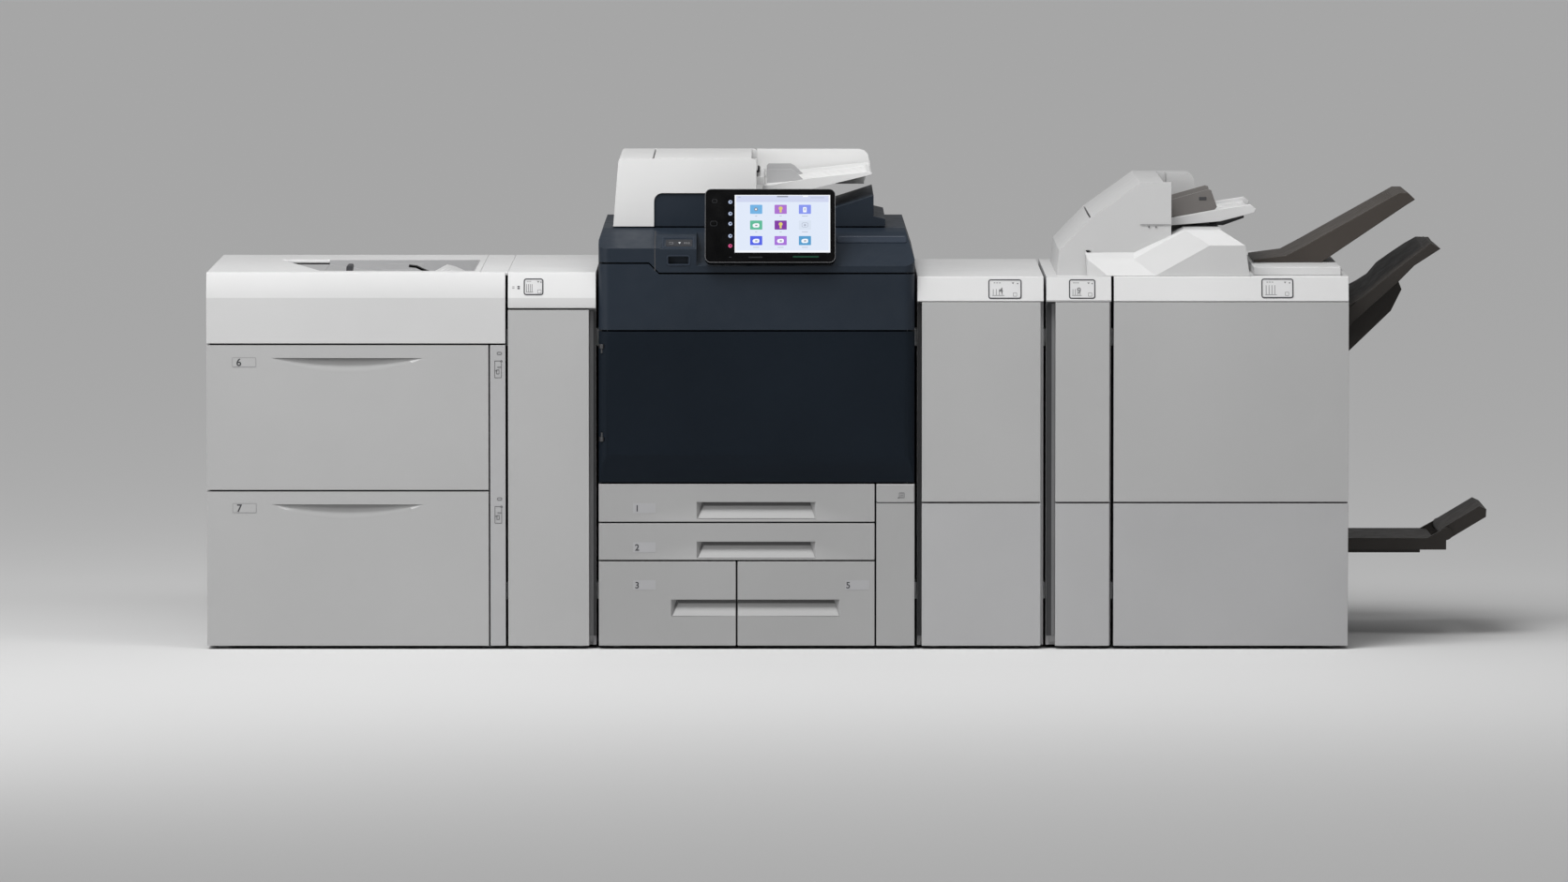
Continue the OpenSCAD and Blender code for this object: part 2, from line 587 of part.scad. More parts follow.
module tray_box(walls, z) drawer_box(inset(walls, rail_w + rail_fit), box_range(z), tray_l);
module tray_1_box() color(grey) tray_box(tray_walls, tray_one_z);
module tray_2_box() color(grey) tray_box(tray_walls, tray_two_z);
module tray_3_box() color(grey) tray_box(left_walls, tray_three_z);
module tray_5_box() color(grey) tray_box(right_walls, tray_three_z);
module drawer_runners() color(steel) {
    runners(feeder_walls, upper_box_z[1], drawer_l);
    runners(feeder_walls, lower_box_z[1], drawer_l);
    runners(tray_walls, box_range(tray_one_z)[1], tray_l);
    runners(tray_walls, box_range(tray_two_z)[1], tray_l);
    runners(left_walls, box_range(tray_three_z)[1], tray_l);
    runners(right_walls, box_range(tray_three_z)[1], tray_l);
}
column_cap_h = 42;
module side_column() color(light) {
    x = [trays_x[1] + panel_gap, engine_x[1]];
    block(x, [y_front, y_inner - seam], [z_low, tray_one_z[1] - column_cap_h - panel_gap / 2]);
    block(x, [y_front, y_inner - seam], [tray_one_z[1] - column_cap_h, tray_one_z[1]]);
}

// Scanner deck and document feeder
deck_z = [upper_z1 + panel_gap, z_top + deck_rise];
deck_shares = [[0, 0], [0, 0.16], [0.1, 0.66], [0.14, 0.9], [0.18, 1], [0.97, 1], [1, 0.85], [1, 0]];
deck_left_shares = [[0, 0], [0, 0.58], [0.18, 1], [0.97, 1], [0.97, 0]];
console_shares = [[0, 0], [0, 0.56], [0.05, 0.89], [0.2, 0.93], [0.2, 0]];
console_x = [engine_x[0] + 0.182 * engine_w, engine_x[0] + 0.31 * engine_w];
slot_x = [engine_x[0] + 0.222 * engine_w, engine_x[0] + 0.284 * engine_w];
slot_depth = 14;
pivot_r = 8;
panel_x = [engine_x[0] + 0.337 * engine_w, engine_x[0] + 0.337 * engine_w + panel_w];
// Height of the panel's lower edge above the cabinets' tops
panel_lift = 26;
panel_z = z_top + panel_lift;
knuckle_up = 60;
knuckle_back = panel_t + pivot_r;
knuckle_w = 90;
ear_w = 12;
pivot_y = y_front - panel_reach + knuckle_back * cos(panel_lean) + knuckle_up * sin(panel_lean);
pivot_z = panel_z - knuckle_back * sin(panel_lean) + knuckle_up * cos(panel_lean);
pivot_x = (panel_x[0] + panel_x[1]) / 2;
module scanner_deck() color(navy) {
    y = [y_bulge, y_back];
    difference() {
        intersection() {
            union() {
                prism_x([step_x[0] - deck_lap, engine_x[1]], spread(y, deck_z, deck_shares));
                prism_x([engine_x[0], step_x[1]], spread(y, deck_z, deck_left_shares));
                prism_x(console_x, spread(y, deck_z, console_shares));
            }
            prism_z(deck_z, round_front(engine_x, y, engine_edge_r));
            prism_y(y, concat([[engine_x[0], deck_z[0] + cover_step_h],
                [step_x[0], deck_z[0] + cover_step_h], [step_x[1], deck_z[0]]],
                spread(engine_x, deck_z, [[1, 0], [1, 0.3], [0.97, 1], [0.012, 1], [0, 0.75]])));
        }
        block(slot_x, [y_bulge - cut, y_bulge + slot_depth],
            [deck_z[0] + 0.21 * (deck_z[1] - deck_z[0]), deck_z[0] + 0.38 * (deck_z[1] - deck_z[0])]);
        // Hollow for the scanning carriage under the glass
        block(inset(engine_x, engine_edge_r + column_w / 2),
            [y_front + 0.2 * cabinet_depth, y_back - 0.08 * cabinet_depth],
            [deck_z[0] + cover_step_h + plate_t, deck_z[1] - plate_t]);
    }
    scan_lugs();
    for (side = [-1, 1]) {
        x = pivot_x + side * (knuckle_w / 2 + ear_w / 2 + rail_fit) - ear_w / 2;
        rod_x([x, x + ear_w], pivot_y, pivot_z, pivot_r);
        block([x, x + ear_w], [pivot_y - pivot_r, pivot_y + pivot_r],
            [deck_z[0] + cover_step_h, pivot_z]);
    }
    rod_x([pivot_x - knuckle_w / 2 - ear_w, pivot_x + knuckle_w / 2 + ear_w], pivot_y, pivot_z, pivot_r / 2);
}
glass_t = 3;
doc_x0 = engine_x[0] + 0.044 * engine_w;
doc_x1 = doc_x0 + document_feeder_w;
doc_y = [y_front + 0.164 * cabinet_depth, y_front + 0.88 * cabinet_depth];
doc_z = [deck_z[1] + glass_t + seam, deck_z[1] + glass_t + document_feeder_h];
doc_leg_share = 0.285;
arch_share = 0.49;
doc_arch_x = doc_x0 + doc_leg_share * document_feeder_w;
doc_arch_z = doc_z[0] + arch_share * document_feeder_h;
doc_recess = 4;
doc_edge_r = 9;
arch_r = 20;
lid_x = [doc_arch_x, doc_x1 - 3 * doc_recess];
lid_y = inset(doc_y, 4 * doc_recess);
lid_t = 20;
tray_w = 0.81 * document_feeder_w;
tray_y = [doc_y[0] + 0.1 * (doc_y[1] - doc_y[0]), doc_y[1] - 0.08 * (doc_y[1] - doc_y[0])];
root_r = 9;
root = [doc_x1 + root_r + 2 * rail_fit, doc_z[0] + 0.66 * document_feeder_h];
// The two hinges behind the scan cover: an ear on the cover turns on a pin of the deck's lug
scan_ear_r = 9;
scan_ear_w = 26;
scan_pin_r = 4;
scan_axis_y = doc_y[1] + scan_ear_r + cut;
scan_axis_z = doc_z[0] + scan_ear_r + back_gap;
cover_x = [doc_arch_x + seam, doc_x1 + 1.11 * tray_w];
scan_hinge_x = [for (s = [0.12, 0.72]) cover_x[0] + s * (cover_x[1] - cover_x[0])];
module scan_lugs() {
    for (x = scan_hinge_x) {
        lug = [x + scan_ear_w + rail_fit, x + 1.5 * scan_ear_w];
        rod_x(lug, scan_axis_y, scan_axis_z, scan_ear_r);
        rod_x([x + rail_fit, lug[1] - cut], scan_axis_y, scan_axis_z, scan_pin_r);
        block(lug, [scan_axis_y - scan_ear_r, scan_axis_y + scan_ear_r], [deck_z[1] - cut, scan_axis_z]);
    }
}
module platen_glass() color([0.6, 0.7, 0.75, 0.5])
    block([doc_x0 + doc_recess, doc_x1 + tray_w / 2], inset(doc_y, column_w),
        [deck_z[1], deck_z[1] + glass_t]);
cover_shares = [[0.415, 0.98], [0.415, 0.44], [0.78, 0.55], [0.95, 0.93], [0.95, 0.3], [1, 0.22], [1, 0]];
module document_cover() color(navy) difference() {
    union() {
        prism_y([doc_y[0] + doc_recess, doc_y[1]],
            concat([[cover_x[0], doc_z[0]]], arc([doc_arch_x + arch_r, doc_arch_z - arch_r],
            arch_r - seam, 180, 90), spread(cover_x, [doc_z[0], doc_arch_z], cover_shares)));
        for (x = scan_hinge_x) {
            rod_x([x, x + scan_ear_w], scan_axis_y, scan_axis_z, scan_ear_r);
            block([x, x + scan_ear_w], [doc_y[1] - cut, scan_axis_y],
                [scan_axis_z - scan_ear_r, scan_axis_z + scan_ear_r]);
        }
    }
    for (x = scan_hinge_x)
        rod_x([x - cut, x + scan_ear_w + cut], scan_axis_y, scan_axis_z, scan_pin_r + pin_fit);
}
feeder_outline = concat([[doc_x0, doc_z[0]]],
    arc([doc_x0 + 3 * doc_recess + doc_edge_r, doc_z[1] - doc_edge_r], doc_edge_r, 180, 90),
    arc([doc_x1 - doc_edge_r, doc_z[1] - doc_edge_r], doc_edge_r, 90, 0), [[doc_x1, doc_arch_z + seam]],
    arc([doc_arch_x + arch_r, doc_arch_z + seam - arch_r], arch_r, 90, 180), [[doc_arch_x, doc_z[0]]]);
wall_shares = [[0, 0.02], [0.94, 0.02], [1, 0.5], [0.975, 0.86], [0.945, 0.96], [0.9, 1], [0, 1]];
wall_x = [doc_x1 + seam, doc_x1 + tray_w];
wall_y = [tray_y[1] + ear_w + 2 * rail_fit, doc_y[1]];
module document_feeder() color(pale) {
    difference() {
        union() {
            prism_y(doc_y, feeder_outline);
            for (y = [tray_y[0] - ear_w - rail_fit, tray_y[1] + rail_fit])
                block([doc_x1 - cut, root[0] + root_r], [y, y + ear_w],
                    [root[1] - root_r, root[1] + root_r]);
        }
        block([lid_x[0] - panel_gap, doc_x1 + cut], [lid_y[0] - rail_fit, lid_y[1] + rail_fit],
            [doc_z[1] - lid_t - back_gap, doc_z[1] + cut]);
        rod_y(lid_x[0] + hinge_inset, [lid_y[0] - pin_l, lid_y[1] + pin_l], doc_z[1] - hinge_inset,
            pin_r + pin_fit);
        rod_y(root[0], [tray_y[0] - pin_l, tray_y[1] + pin_l], root[1], pin_r + pin_fit);
    }
    // Rear wall beside the tray, as high as the feeder
    prism_y(wall_y, spread(wall_x, [doc_arch_z, doc_z[1]], wall_shares));
    // Shelf under the tray's rear edge
    prism_y([doc_y[1] - column_w, wall_y[0] - seam],
        [[wall_x[0], doc_arch_z + seam], [doc_x1 + 0.94 * tray_w, doc_arch_z + seam],
        [doc_x1 + 0.94 * tray_w, root[1] - root_r + 0.09 * document_feeder_h],
        [doc_x1 + 0.44 * tray_w, root[1] - root_r - seam], [wall_x[0], root[1] - root_r - seam]]);
}
module feeder_lid() color(pale) {
    block(lid_x, lid_y, [doc_z[1] - lid_t, doc_z[1]]);
    rod_y(lid_x[0] + hinge_inset, [lid_y[0] - pin_l + cut, lid_y[1] + pin_l - cut],
        doc_z[1] - hinge_inset, pin_r);
}
module document_tray() color(pale) {
    z = root[1] - root_r;
    prism_y(tray_y, [[root[0], z], [doc_x1 + 0.44 * tray_w, z],
        [doc_x1 + tray_w, z + 0.12 * document_feeder_h],
        [doc_x1 + 0.98 * tray_w, z + 0.27 * document_feeder_h],
        [doc_x1 + 0.44 * tray_w, root[1] + root_r], [root[0], root[1] + root_r]]);
    rod_y(root[0], tray_y, root[1], root_r);
    rod_y(root[0], [tray_y[0] - pin_l + cut, tray_y[1] + pin_l - cut], root[1], pin_r);
}

// Touch screen panel, built upright and then leant back
panel_edge = 14;
screen_inset = 4;
screen_t = 2;
button_r = 4;
button_l = 6;
button_rim = 0.4;
button_x = panel_x[0] + 0.067 * panel_w;
button_z = 0.53 * panel_h;
module on_panel() translate([0, y_front - panel_reach, panel_z]) rotate([-panel_lean, 0, 0]) children();
module control_panel() color([0.05, 0.05, 0.06]) on_panel() difference() {
    union() {
        prism_y([0, panel_t], round_rect(panel_x, [0, panel_h], panel_edge));
        block([pivot_x - knuckle_w / 2, pivot_x + knuckle_w / 2], [panel_t - cut, knuckle_back],
            [knuckle_up - pivot_r, knuckle_up + pivot_r]);
        translate([pivot_x - knuckle_w / 2, knuckle_back, knuckle_up]) rotate([0, 90, 0])
            cylinder(h = knuckle_w, r = pivot_r);
    }
    prism_y([-cut, screen_t], round_rect(inset(panel_x, screen_inset), inset([0, panel_h], screen_inset),
        panel_edge - screen_inset));
    translate([pivot_x - knuckle_w, knuckle_back, knuckle_up]) rotate([0, 90, 0])
        cylinder(h = 2 * knuckle_w, r = pivot_r / 2 + pin_fit);
    rod_y(button_x, [-cut, button_l + 2 * cut], button_z, button_r + rail_fit);
}
module screen_glass() color([0.02, 0.02, 0.03]) on_panel() difference() {
    prism_y([button_rim, screen_t], round_rect(inset(panel_x, screen_inset + seam),
        inset([0, panel_h], screen_inset + seam), panel_edge - screen_inset));
    rod_y(button_x, [-cut, screen_t + cut], button_z, button_r + rail_fit);
}
module power_button() color(grey) on_panel() rod_y(button_x, [-button_rim, button_l], button_z, button_r);

// Cooling module and inserter
cooler_recess_w = 11;
cooler_edge_w = 7;
inserter_recess_w = 22;
inserter_edge_w = 4;
right_door_z = [z_low + skirt_h + panel_gap, z_right - cover_h - band_gap];
cooler_door_x = [cooler_x[0] + cooler_recess_w, cooler_x[1] - cooler_edge_w];
inserter_door_x = [inserter_x[0] + inserter_recess_w, inserter_x[1] - inserter_edge_w];
// Plates, bulkhead, hinge lugs and lower panel of a cabinet right of the engine
module right_cabinet(x, door_x) {
    cabinet_plates(x, z_right - plate_t - seam);
    bulkhead(x, [z_low + plate_t + seam, z_right - plate_t - seam]);
    hinge_lugs(door_x[1] - hinge_inset, y_front, right_door_z);
    block(door_x, [y_front, y_inner - seam], [z_low, z_low + skirt_h]);
}
module cooler_cabinet() color(light) right_cabinet(cooler_x, cooler_door_x);
module cooler_top_cover() color(pale) band_cover(cooler_x, z_right - cover_h, z_right);
module cooler_door() color(light) flat_door(cooler_door_x, right_door_z, -1);
module inserter_cabinet() color(light) {
    right_cabinet(inserter_x, inserter_door_x);
    band_cover(inserter_x, z_right - cover_h, z_right);
}
module inserter_door() color(light) flat_door(inserter_door_x, right_door_z, -1);
head_x0 = inserter_x[0] + 0.17 * inserter_w;
head_range = [head_x0, head_x0 + head_w];
head_z = [z_right + seam, z_right + head_h];
head_yr = [y_front + 0.09 * cabinet_depth, y_front + 0.89 * cabinet_depth];
head_outline_shares = [[0, 0], [0.022, 0.265], [0.3, 0.62], [0.73, 1], [1, 1], [1, 0.52], [0.68, 0.27],
    [0.25, 0.27], [0.43, 0]];
head_wall_shares = [[0.98, 0.51], [1.22, 0.6], [1.27, 0.66], [1.27, 0.92], [1.25, 0.98], [1.21, 1],
    [0.98, 1]];
lid_hinge = spread(head_range, head_z, [[0.9, 0.95]])[0];
head_lid_y = inset(head_yr, 0.05 * cabinet_depth);
module inserter_head() color(light) {
    difference() {
        union() {
            prism_y(head_yr, spread(head_range, head_z, head_outline_shares));
            // Wall behind the tray
            prism_y([itray_y[1] + panel_gap, head_yr[1]], spread(head_range, head_z, head_wall_shares));
        }
        prism_y([head_lid_y[0] - rail_fit, head_lid_y[1] + rail_fit],
            spread(head_range, head_z, [[0.27, 0.66], [0.73, 1.1], [1.02, 1.1], [1.02, 0.86],
            [0.765, 0.86], [0.335, 0.5]]));
        rod_y(lid_hinge[0], [head_lid_y[0] - pin_l, head_lid_y[1] + pin_l], lid_hinge[1],
            pin_r + pin_fit);
    }
}
module inserter_lid() color(pale) {
    prism_y(head_lid_y, spread(head_range, head_z,
        [[0.3, 0.62], [0.73, 1], [0.94, 1], [0.94, 0.9], [0.75, 0.9], [0.345, 0.54]]));
    rod_y(lid_hinge[0], [head_lid_y[0] - pin_l + cut, head_lid_y[1] + pin_l - cut], lid_hinge[1], pin_r);
}
itray_x = [head_range[1] + seam, head_range[1] + inserter_tray_w];
itray_z = [head_z[0] + 0.53 * head_h, head_z[0] + 0.8 * head_h];
itray_y = [y_front + 0.2 * cabinet_depth, y_front + 0.7 * cabinet_depth];
module inserter_tray() color(light) {
    prism_y(itray_y, spread(itray_x, itray_z, [[0, 0], [0.93, 0.6], [1, 0.75], [0.94, 0.95], [0, 0.38]]));
    // Fixed side fences of the tray
    for (y = [itray_y[0] + 0.18 * cabinet_depth, itray_y[1] - guide_t - 0.05 * cabinet_depth])
        prism_y([y, y + guide_t], spread(itray_x, itray_z,
            [[0, 0.36], [0.72, 0.79], [0.6, 1.3], [0, 1.1]]));
}

// Finisher
pad_h = 20;
pad_x = [finisher_x[0] + 0.6 * finisher_w, finisher_x[1] - 2 * hinge_inset];
// How far the bridge reaches over the inserter
bridge_lap = 64;
bridge_x = [finisher_x[0] - bridge_lap, finisher_x[1] - 0.41 * finisher_w];
finisher_door_x = finisher_x;
exit_y = [y_front + 0.33 * cabinet_depth, y_front + 0.73 * cabinet_depth];
module finisher_cabinet() color(light) right_cabinet(finisher_x, finisher_door_x);
module finisher_top_cover() color(pale) {
    band_cover(finisher_x, z_right - cover_h, z_right);
    block(pad_x, [y_front + 0.08 * cabinet_depth, y_back], [z_right + seam, z_right + pad_h]);
}
module finisher_door() color(light) flat_door(finisher_door_x, right_door_z, -1);
bridge_y = [y_front + 0.035 * cabinet_depth, head_yr[0] + 0.5 * cabinet_depth];
bridge_z = [z_right + seam, z_right + bridge_h];
// Where the sloping front ends and the level top begins
bridge_turn_y = bridge_y[0] + 0.19 * cabinet_depth;
bridge_low_share = 0.38;
bridge_front_share = 0.72;
bridge_plan_shares = [[0.127, 0], [0, 0.34], [0, 1], [0.845, 1], [0.845, 0.34], [0.987, 0]];
bridge_rear_shares = [[0, 0], [0, bridge_low_share], [0.294, bridge_low_share], [0.573, 1], [0.845, 1],
    [0.845, 0]];
// Room for the inserter's head, as a share of the head's own size
head_room_shares = [[-0.5, -0.1], [0.52, -0.1], [0.29, 0.25], [0.7, 0.25], [1.02, 0.5], [1.02, 1],
    [-0.5, 1]];
// The left facet rises to the right and its edges run back to the left
bridge_facet_angle = 37;
bridge_facet_slope = 0.69;
bridge_foot_share = 0.417;
module bridge_front_slope(first_share, last_share)
    prism_x(bridge_x, spread([bridge_y[0], bridge_turn_y], bridge_z,
        [[0, 0], [0, first_share], [1, last_share], [1.01, last_share], [1.01, 0]]));
module bridge_facet_wedge() {
    reach = bridge_x[1] - bridge_x[0];
    translate([bridge_x[0] + bridge_foot_share * reach, bridge_y[0], bridge_z[0]])
        rotate([0, 0, bridge_facet_angle])
            prism_y([-reach, reach], [[0, 0], [reach, bridge_facet_slope * reach], [reach, 0]]);
}
module bridge_cover() color(light) difference() {
    intersection() {
        union() {
            bridge_front_slope(0, bridge_low_share);
            intersection() {
                bridge_front_slope(bridge_front_share, 1);
                bridge_facet_wedge();
            }
            prism_y([bridge_turn_y, bridge_y[1]], spread(bridge_x, bridge_z, bridge_rear_shares));
        }
        prism_z(bridge_z, spread(bridge_x, bridge_y, bridge_plan_shares));
    }
    prism_y([head_yr[0] - panel_gap, bridge_y[1] + cut], spread(head_range, head_z, head_room_shares));
}
top_tray_x = [finisher_x[1] - 0.4 * finisher_w + plate_t, finisher_x[1] + top_tray_reach];
top_tray_z = [z_right + pad_h + seam, z_right + pad_h + top_tray_rise];
module top_exit_tray() color(brown) prism_y(exit_y,
    spread(top_tray_x, top_tray_z, [[0, 0], [0.42, 0], [0.945, 0.82], [1, 0.9], [0.955, 1], [0.9, 1],
    [0.33, 0.26], [0.2, 0.1], [0, 0.04]]));
stacker_x = [finisher_x[1] + seam, finisher_x[1] + stacker_reach];
// Height of the stacker tray's tip above the cabinets' tops
stacker_lift = 66;
stacker_z = [z_right + stacker_lift - 2 * stacker_rise, z_right + stacker_lift];
module stacker_tray() color(brown) {
    prism_y(exit_y, spread(stacker_x, stacker_z,
        [[0, 0.42], [0.1, 0.45], [0.54, 0.76], [0.9, 1], [1, 0.95], [0.73, 0.8], [0.57, 0.66], [0.1, 0.3],
        [0, 0.22]]));
    prism_y(inset(exit_y, column_w / 2), spread(stacker_x, stacker_z,
        [[0, 0], [0, 0.35], [0.57, 0.67], [0.61, 0.58], [0.5, 0.39], [0.03, 0]]));
}
// Height of the booklet tray's underside above the cabinets' lower edge, and its thickness
booklet_lift = 192;
booklet_h = 38;
booklet_z = [z_low + booklet_lift, z_low + booklet_lift + booklet_h];
booklet_y = [y_front + 0.39 * cabinet_depth, y_front + 0.78 * cabinet_depth];
flap_x = finisher_x[1] + booklet_reach;
flap_z = booklet_z[1] + flap_t / 3;
flap_y = inset(booklet_y, ear_w + rail_fit);
flap_pin_r = 4;
module booklet_tray() color(brown) {
    block([finisher_x[1] + seam, flap_x - flap_t], booklet_y, [booklet_z[0] + flap_t / 3, booklet_z[1]]);
    block([finisher_x[1] + seam, flap_x - 2 * flap_t], inset(booklet_y, column_w / 2),
        [booklet_z[0], booklet_z[0] + flap_t / 2]);
    for (y = [booklet_y[0], booklet_y[1] - ear_w]) {
        rod_y(flap_x, [y, y + ear_w], flap_z, flap_t / 2);
        prism_y([y, y + ear_w], [[flap_x - 1.5 * flap_t, booklet_z[0] + flap_t / 3],
            [flap_x, booklet_z[0] + flap_t / 3], [flap_x, flap_z + flap_t / 2],
            [flap_x - 1.5 * flap_t, booklet_z[1]]]);
    }
    rod_y(flap_x, [booklet_y[0] + cut, booklet_y[0] + ear_w + pin_l], flap_z, flap_pin_r);
    rod_y(flap_x, [booklet_y[1] - ear_w - pin_l, booklet_y[1] - cut], flap_z, flap_pin_r);
}
module booklet_flap() color(brown) difference() {
    translate([flap_x, 0, flap_z]) rotate([0, -flap_angle, 0]) {
        rod_y(0, flap_y, 0, flap_t / 2);
        prism_y(flap_y, [[0, -flap_t / 2], [booklet_flap_l - flap_t / 3, -flap_t / 2],
            [booklet_flap_l, 0], [booklet_flap_l - flap_t / 3, flap_t / 2], [0, flap_t / 2]]);
    }
    rod_y(flap_x, [flap_y[0] - cut, flap_y[0] + pin_l + 2 * cut], flap_z, flap_pin_r + pin_fit);
    rod_y(flap_x, [flap_y[1] - pin_l - 2 * cut, flap_y[1] + cut], flap_z, flap_pin_r + pin_fit);
}

// Feet and inlet
foot_r = 18;
foot_stem_r = 8;
foot_inset = 40;
module levelling_feet() color(steel)
    for (x = [feeder_x, transport_x, engine_x, cooler_x, inserter_x, finisher_x], s = [0, 1],
        y = [y_deck + foot_inset, y_back - 2 * foot_inset]) {
        px = s == 0 ? x[0] + foot_inset : x[1] - foot_inset;
        translate([px, y, 0]) cylinder(h = floor_gap / 2, r = foot_r);
        translate([px, y, floor_gap / 2]) cylinder(h = floor_gap / 2, r = foot_stem_r);
    }
bracket_l = 60;
bracket_h = 40;
module docking_brackets() color(steel)
    for (x = [feeder_x, transport_x, engine_x, cooler_x, inserter_x], s = [0.12, 0.8], t = [0.12, 0.88]) {
        z = z_low + s * cabinet_h;
        y = y_front + t * cabinet_depth;
        block([x[1], x[1] + module_gap], [y - bracket_l / 2, y + bracket_l / 2], [z, z + bracket_h]);
    }
inlet_w = 50;
inlet_h = 34;
inlet_wall = 4;
contact_w = 4;
inlet_x = engine_x[1] - 2 * column_w;
inlet_z = z_low + 2 * column_w;
module power_inlet() color([0.05, 0.05, 0.05]) {
    x = [inlet_x, inlet_x + inlet_w];
    z = [inlet_z, inlet_z + inlet_h];
    difference() {
        block(x, [y_back, y_back + inlet_t], z);
        block(inset(x, inlet_wall), [y_back + inlet_wall, y_back + inlet_t + cut], inset(z, inlet_wall));
    }
    for (s = [0.25, 0.5, 0.75])
        block([x[0] + s * inlet_w - contact_w / 2, x[0] + s * inlet_w + contact_w / 2],
            [y_back + inlet_wall - cut / 2, y_back + inlet_t - inlet_wall],
            [z[0] + inlet_h / 3, z[0] + 2 * inlet_h / 3]);
}

feeder_cabinet();
feeder_top_cover();
bypass_tray();
bypass_feed_head();
bypass_guide_front();
bypass_guide_rear();
upper_drawer_front();
upper_drawer_tray();
lower_drawer_front();
lower_drawer_tray();
drawer_runners();
transport_cabinet();
transport_top_cover();
transport_door();
transport_rollers();
engine_frame();
engine_front_door();
upper_front_cover();
toner_cartridges();
drum_units();
transfer_belt_unit();
fuser_unit();
tray_1_front();
tray_1_box();
tray_2_front();
tray_2_box();
tray_3_front();
tray_3_box();
tray_5_front();
tray_5_box();
side_column();
scanner_deck();
platen_glass();
document_cover();
document_feeder();
feeder_lid();
document_tray();
control_panel();
screen_glass();
power_button();
cooler_cabinet();
cooler_top_cover();
cooler_door();
inserter_cabinet();
inserter_door();
inserter_head();
inserter_lid();
inserter_tray();
finisher_cabinet();
finisher_top_cover();
finisher_door();
bridge_cover();
top_exit_tray();
stacker_tray();
booklet_tray();
booklet_flap();
levelling_feet();
docking_brackets();
power_inlet();
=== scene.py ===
"""Looks of a digital production printer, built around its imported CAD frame."""

import math

import bmesh
import bpy
from mathutils import Matrix, Vector


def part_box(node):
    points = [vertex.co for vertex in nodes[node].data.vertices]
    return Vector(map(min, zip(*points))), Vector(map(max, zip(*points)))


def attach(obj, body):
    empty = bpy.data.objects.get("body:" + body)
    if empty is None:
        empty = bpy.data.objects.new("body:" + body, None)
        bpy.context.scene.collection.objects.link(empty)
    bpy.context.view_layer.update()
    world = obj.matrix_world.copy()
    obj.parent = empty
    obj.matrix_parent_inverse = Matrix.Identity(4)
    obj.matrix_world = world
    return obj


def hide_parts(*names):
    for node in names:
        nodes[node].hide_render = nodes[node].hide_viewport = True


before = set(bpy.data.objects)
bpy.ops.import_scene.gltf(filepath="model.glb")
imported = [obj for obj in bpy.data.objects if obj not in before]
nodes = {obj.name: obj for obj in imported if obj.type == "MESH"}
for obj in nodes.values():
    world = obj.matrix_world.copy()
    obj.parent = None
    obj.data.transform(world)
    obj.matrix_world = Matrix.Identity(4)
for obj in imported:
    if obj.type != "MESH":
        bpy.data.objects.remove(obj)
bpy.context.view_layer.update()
MM = 0.001

# Directions of the shared frame, and the planes that pieces stand on, in mm
RIGHT = (1, 0, 0)
LEFT = (-1, 0, 0)
BACK = (0, 1, 0)
FORWARD = (0, -1, 0)
UP = (0, 0, 1)
FRONT = -387
CONSOLE_FRONT = -403
REAR = 413
COVER_TOP = 878.3
SCANNER_TOP = 1150
# How deep the foot of a raised piece is set into what carries it
SUNK = -0.3


# Camera, lights and floor

CAMERA_PLACE = (-157.7, -25949, 2274.5)
CAMERA_TILT = 86.01
CAMERA_LENS = 250.2
SENSOR_WIDTH = 36
FAR_CLIP = 500
WORLD_STRENGTH = 0.25
SUN_STRENGTH = 1.35
SUN_SPREAD = 24
SUN_WAY = (0.30, 0.36, -0.88)
# Each softbox: its name, place, target and size in metres, and its power in watts
SOFTBOXES = (("softbox_above", (-0.35, -1.35, 2.75), (-0.2, -0.2, 0.75), (4.6, 0.8), 54),
             ("softbox_left", (-3.6, -3, 2.2), (-0.5, 0, 0.7), (1.6, 1.6), 46))
FLOOR_HALF = 150
FLOOR_GREY = 0.62
FLOOR_ROUGHNESS = 0.75


def add_object(name, data):
    item = bpy.data.objects.new(name, data)
    bpy.context.scene.collection.objects.link(item)
    return item


def add_camera():
    data = bpy.data.cameras.new("camera")
    data.sensor_width = SENSOR_WIDTH
    data.lens = CAMERA_LENS
    data.clip_end = FAR_CLIP
    camera = add_object("camera", data)
    camera.location = [value * MM for value in CAMERA_PLACE]
    camera.rotation_euler = (math.radians(CAMERA_TILT), 0, 0)
    bpy.context.scene.camera = camera


def add_area_light(name, place, target, size, power):
    data = bpy.data.lights.new(name, "AREA")
    data.shape = "RECTANGLE"
    data.size = size[0]
    data.size_y = size[1]
    data.energy = power
    light = add_object(name, data)
    light.location = place
    direction = Vector(target) - Vector(place)
    light.rotation_euler = direction.to_track_quat("-Z", "Y").to_euler()
    light.visible_camera = False


def add_lights():
    world = bpy.data.worlds.new("studio")
    world.use_nodes = True
    background = world.node_tree.nodes["Background"]
    set_inputs(background, {"Color": (1, 1, 1, 1), "Strength": WORLD_STRENGTH})
    bpy.context.scene.world = world
    bpy.context.scene.view_settings.view_transform = "Standard"
    sun_data = bpy.data.lights.new("sun", "SUN")
    sun_data.energy = SUN_STRENGTH
    sun_data.angle = math.radians(SUN_SPREAD)
    sun = add_object("sun", sun_data)
    sun.rotation_euler = Vector(SUN_WAY).to_track_quat("-Z", "Y").to_euler()
    for softbox in SOFTBOXES:
        add_area_light(*softbox)


def add_floor():
    mesh = bpy.data.meshes.new("floor")
    half = FLOOR_HALF
    corners = [(-half, -half, 0), (half, -half, 0), (half, half, 0), (-half, half, 0)]
    mesh.from_pydata(corners, [], [(0, 1, 2, 3)])
    material = new_material("floor_paint", [FLOOR_GREY] * 3, FLOOR_ROUGHNESS)[0]
    mesh.materials.append(material)
    add_object("floor", mesh)


# Materials

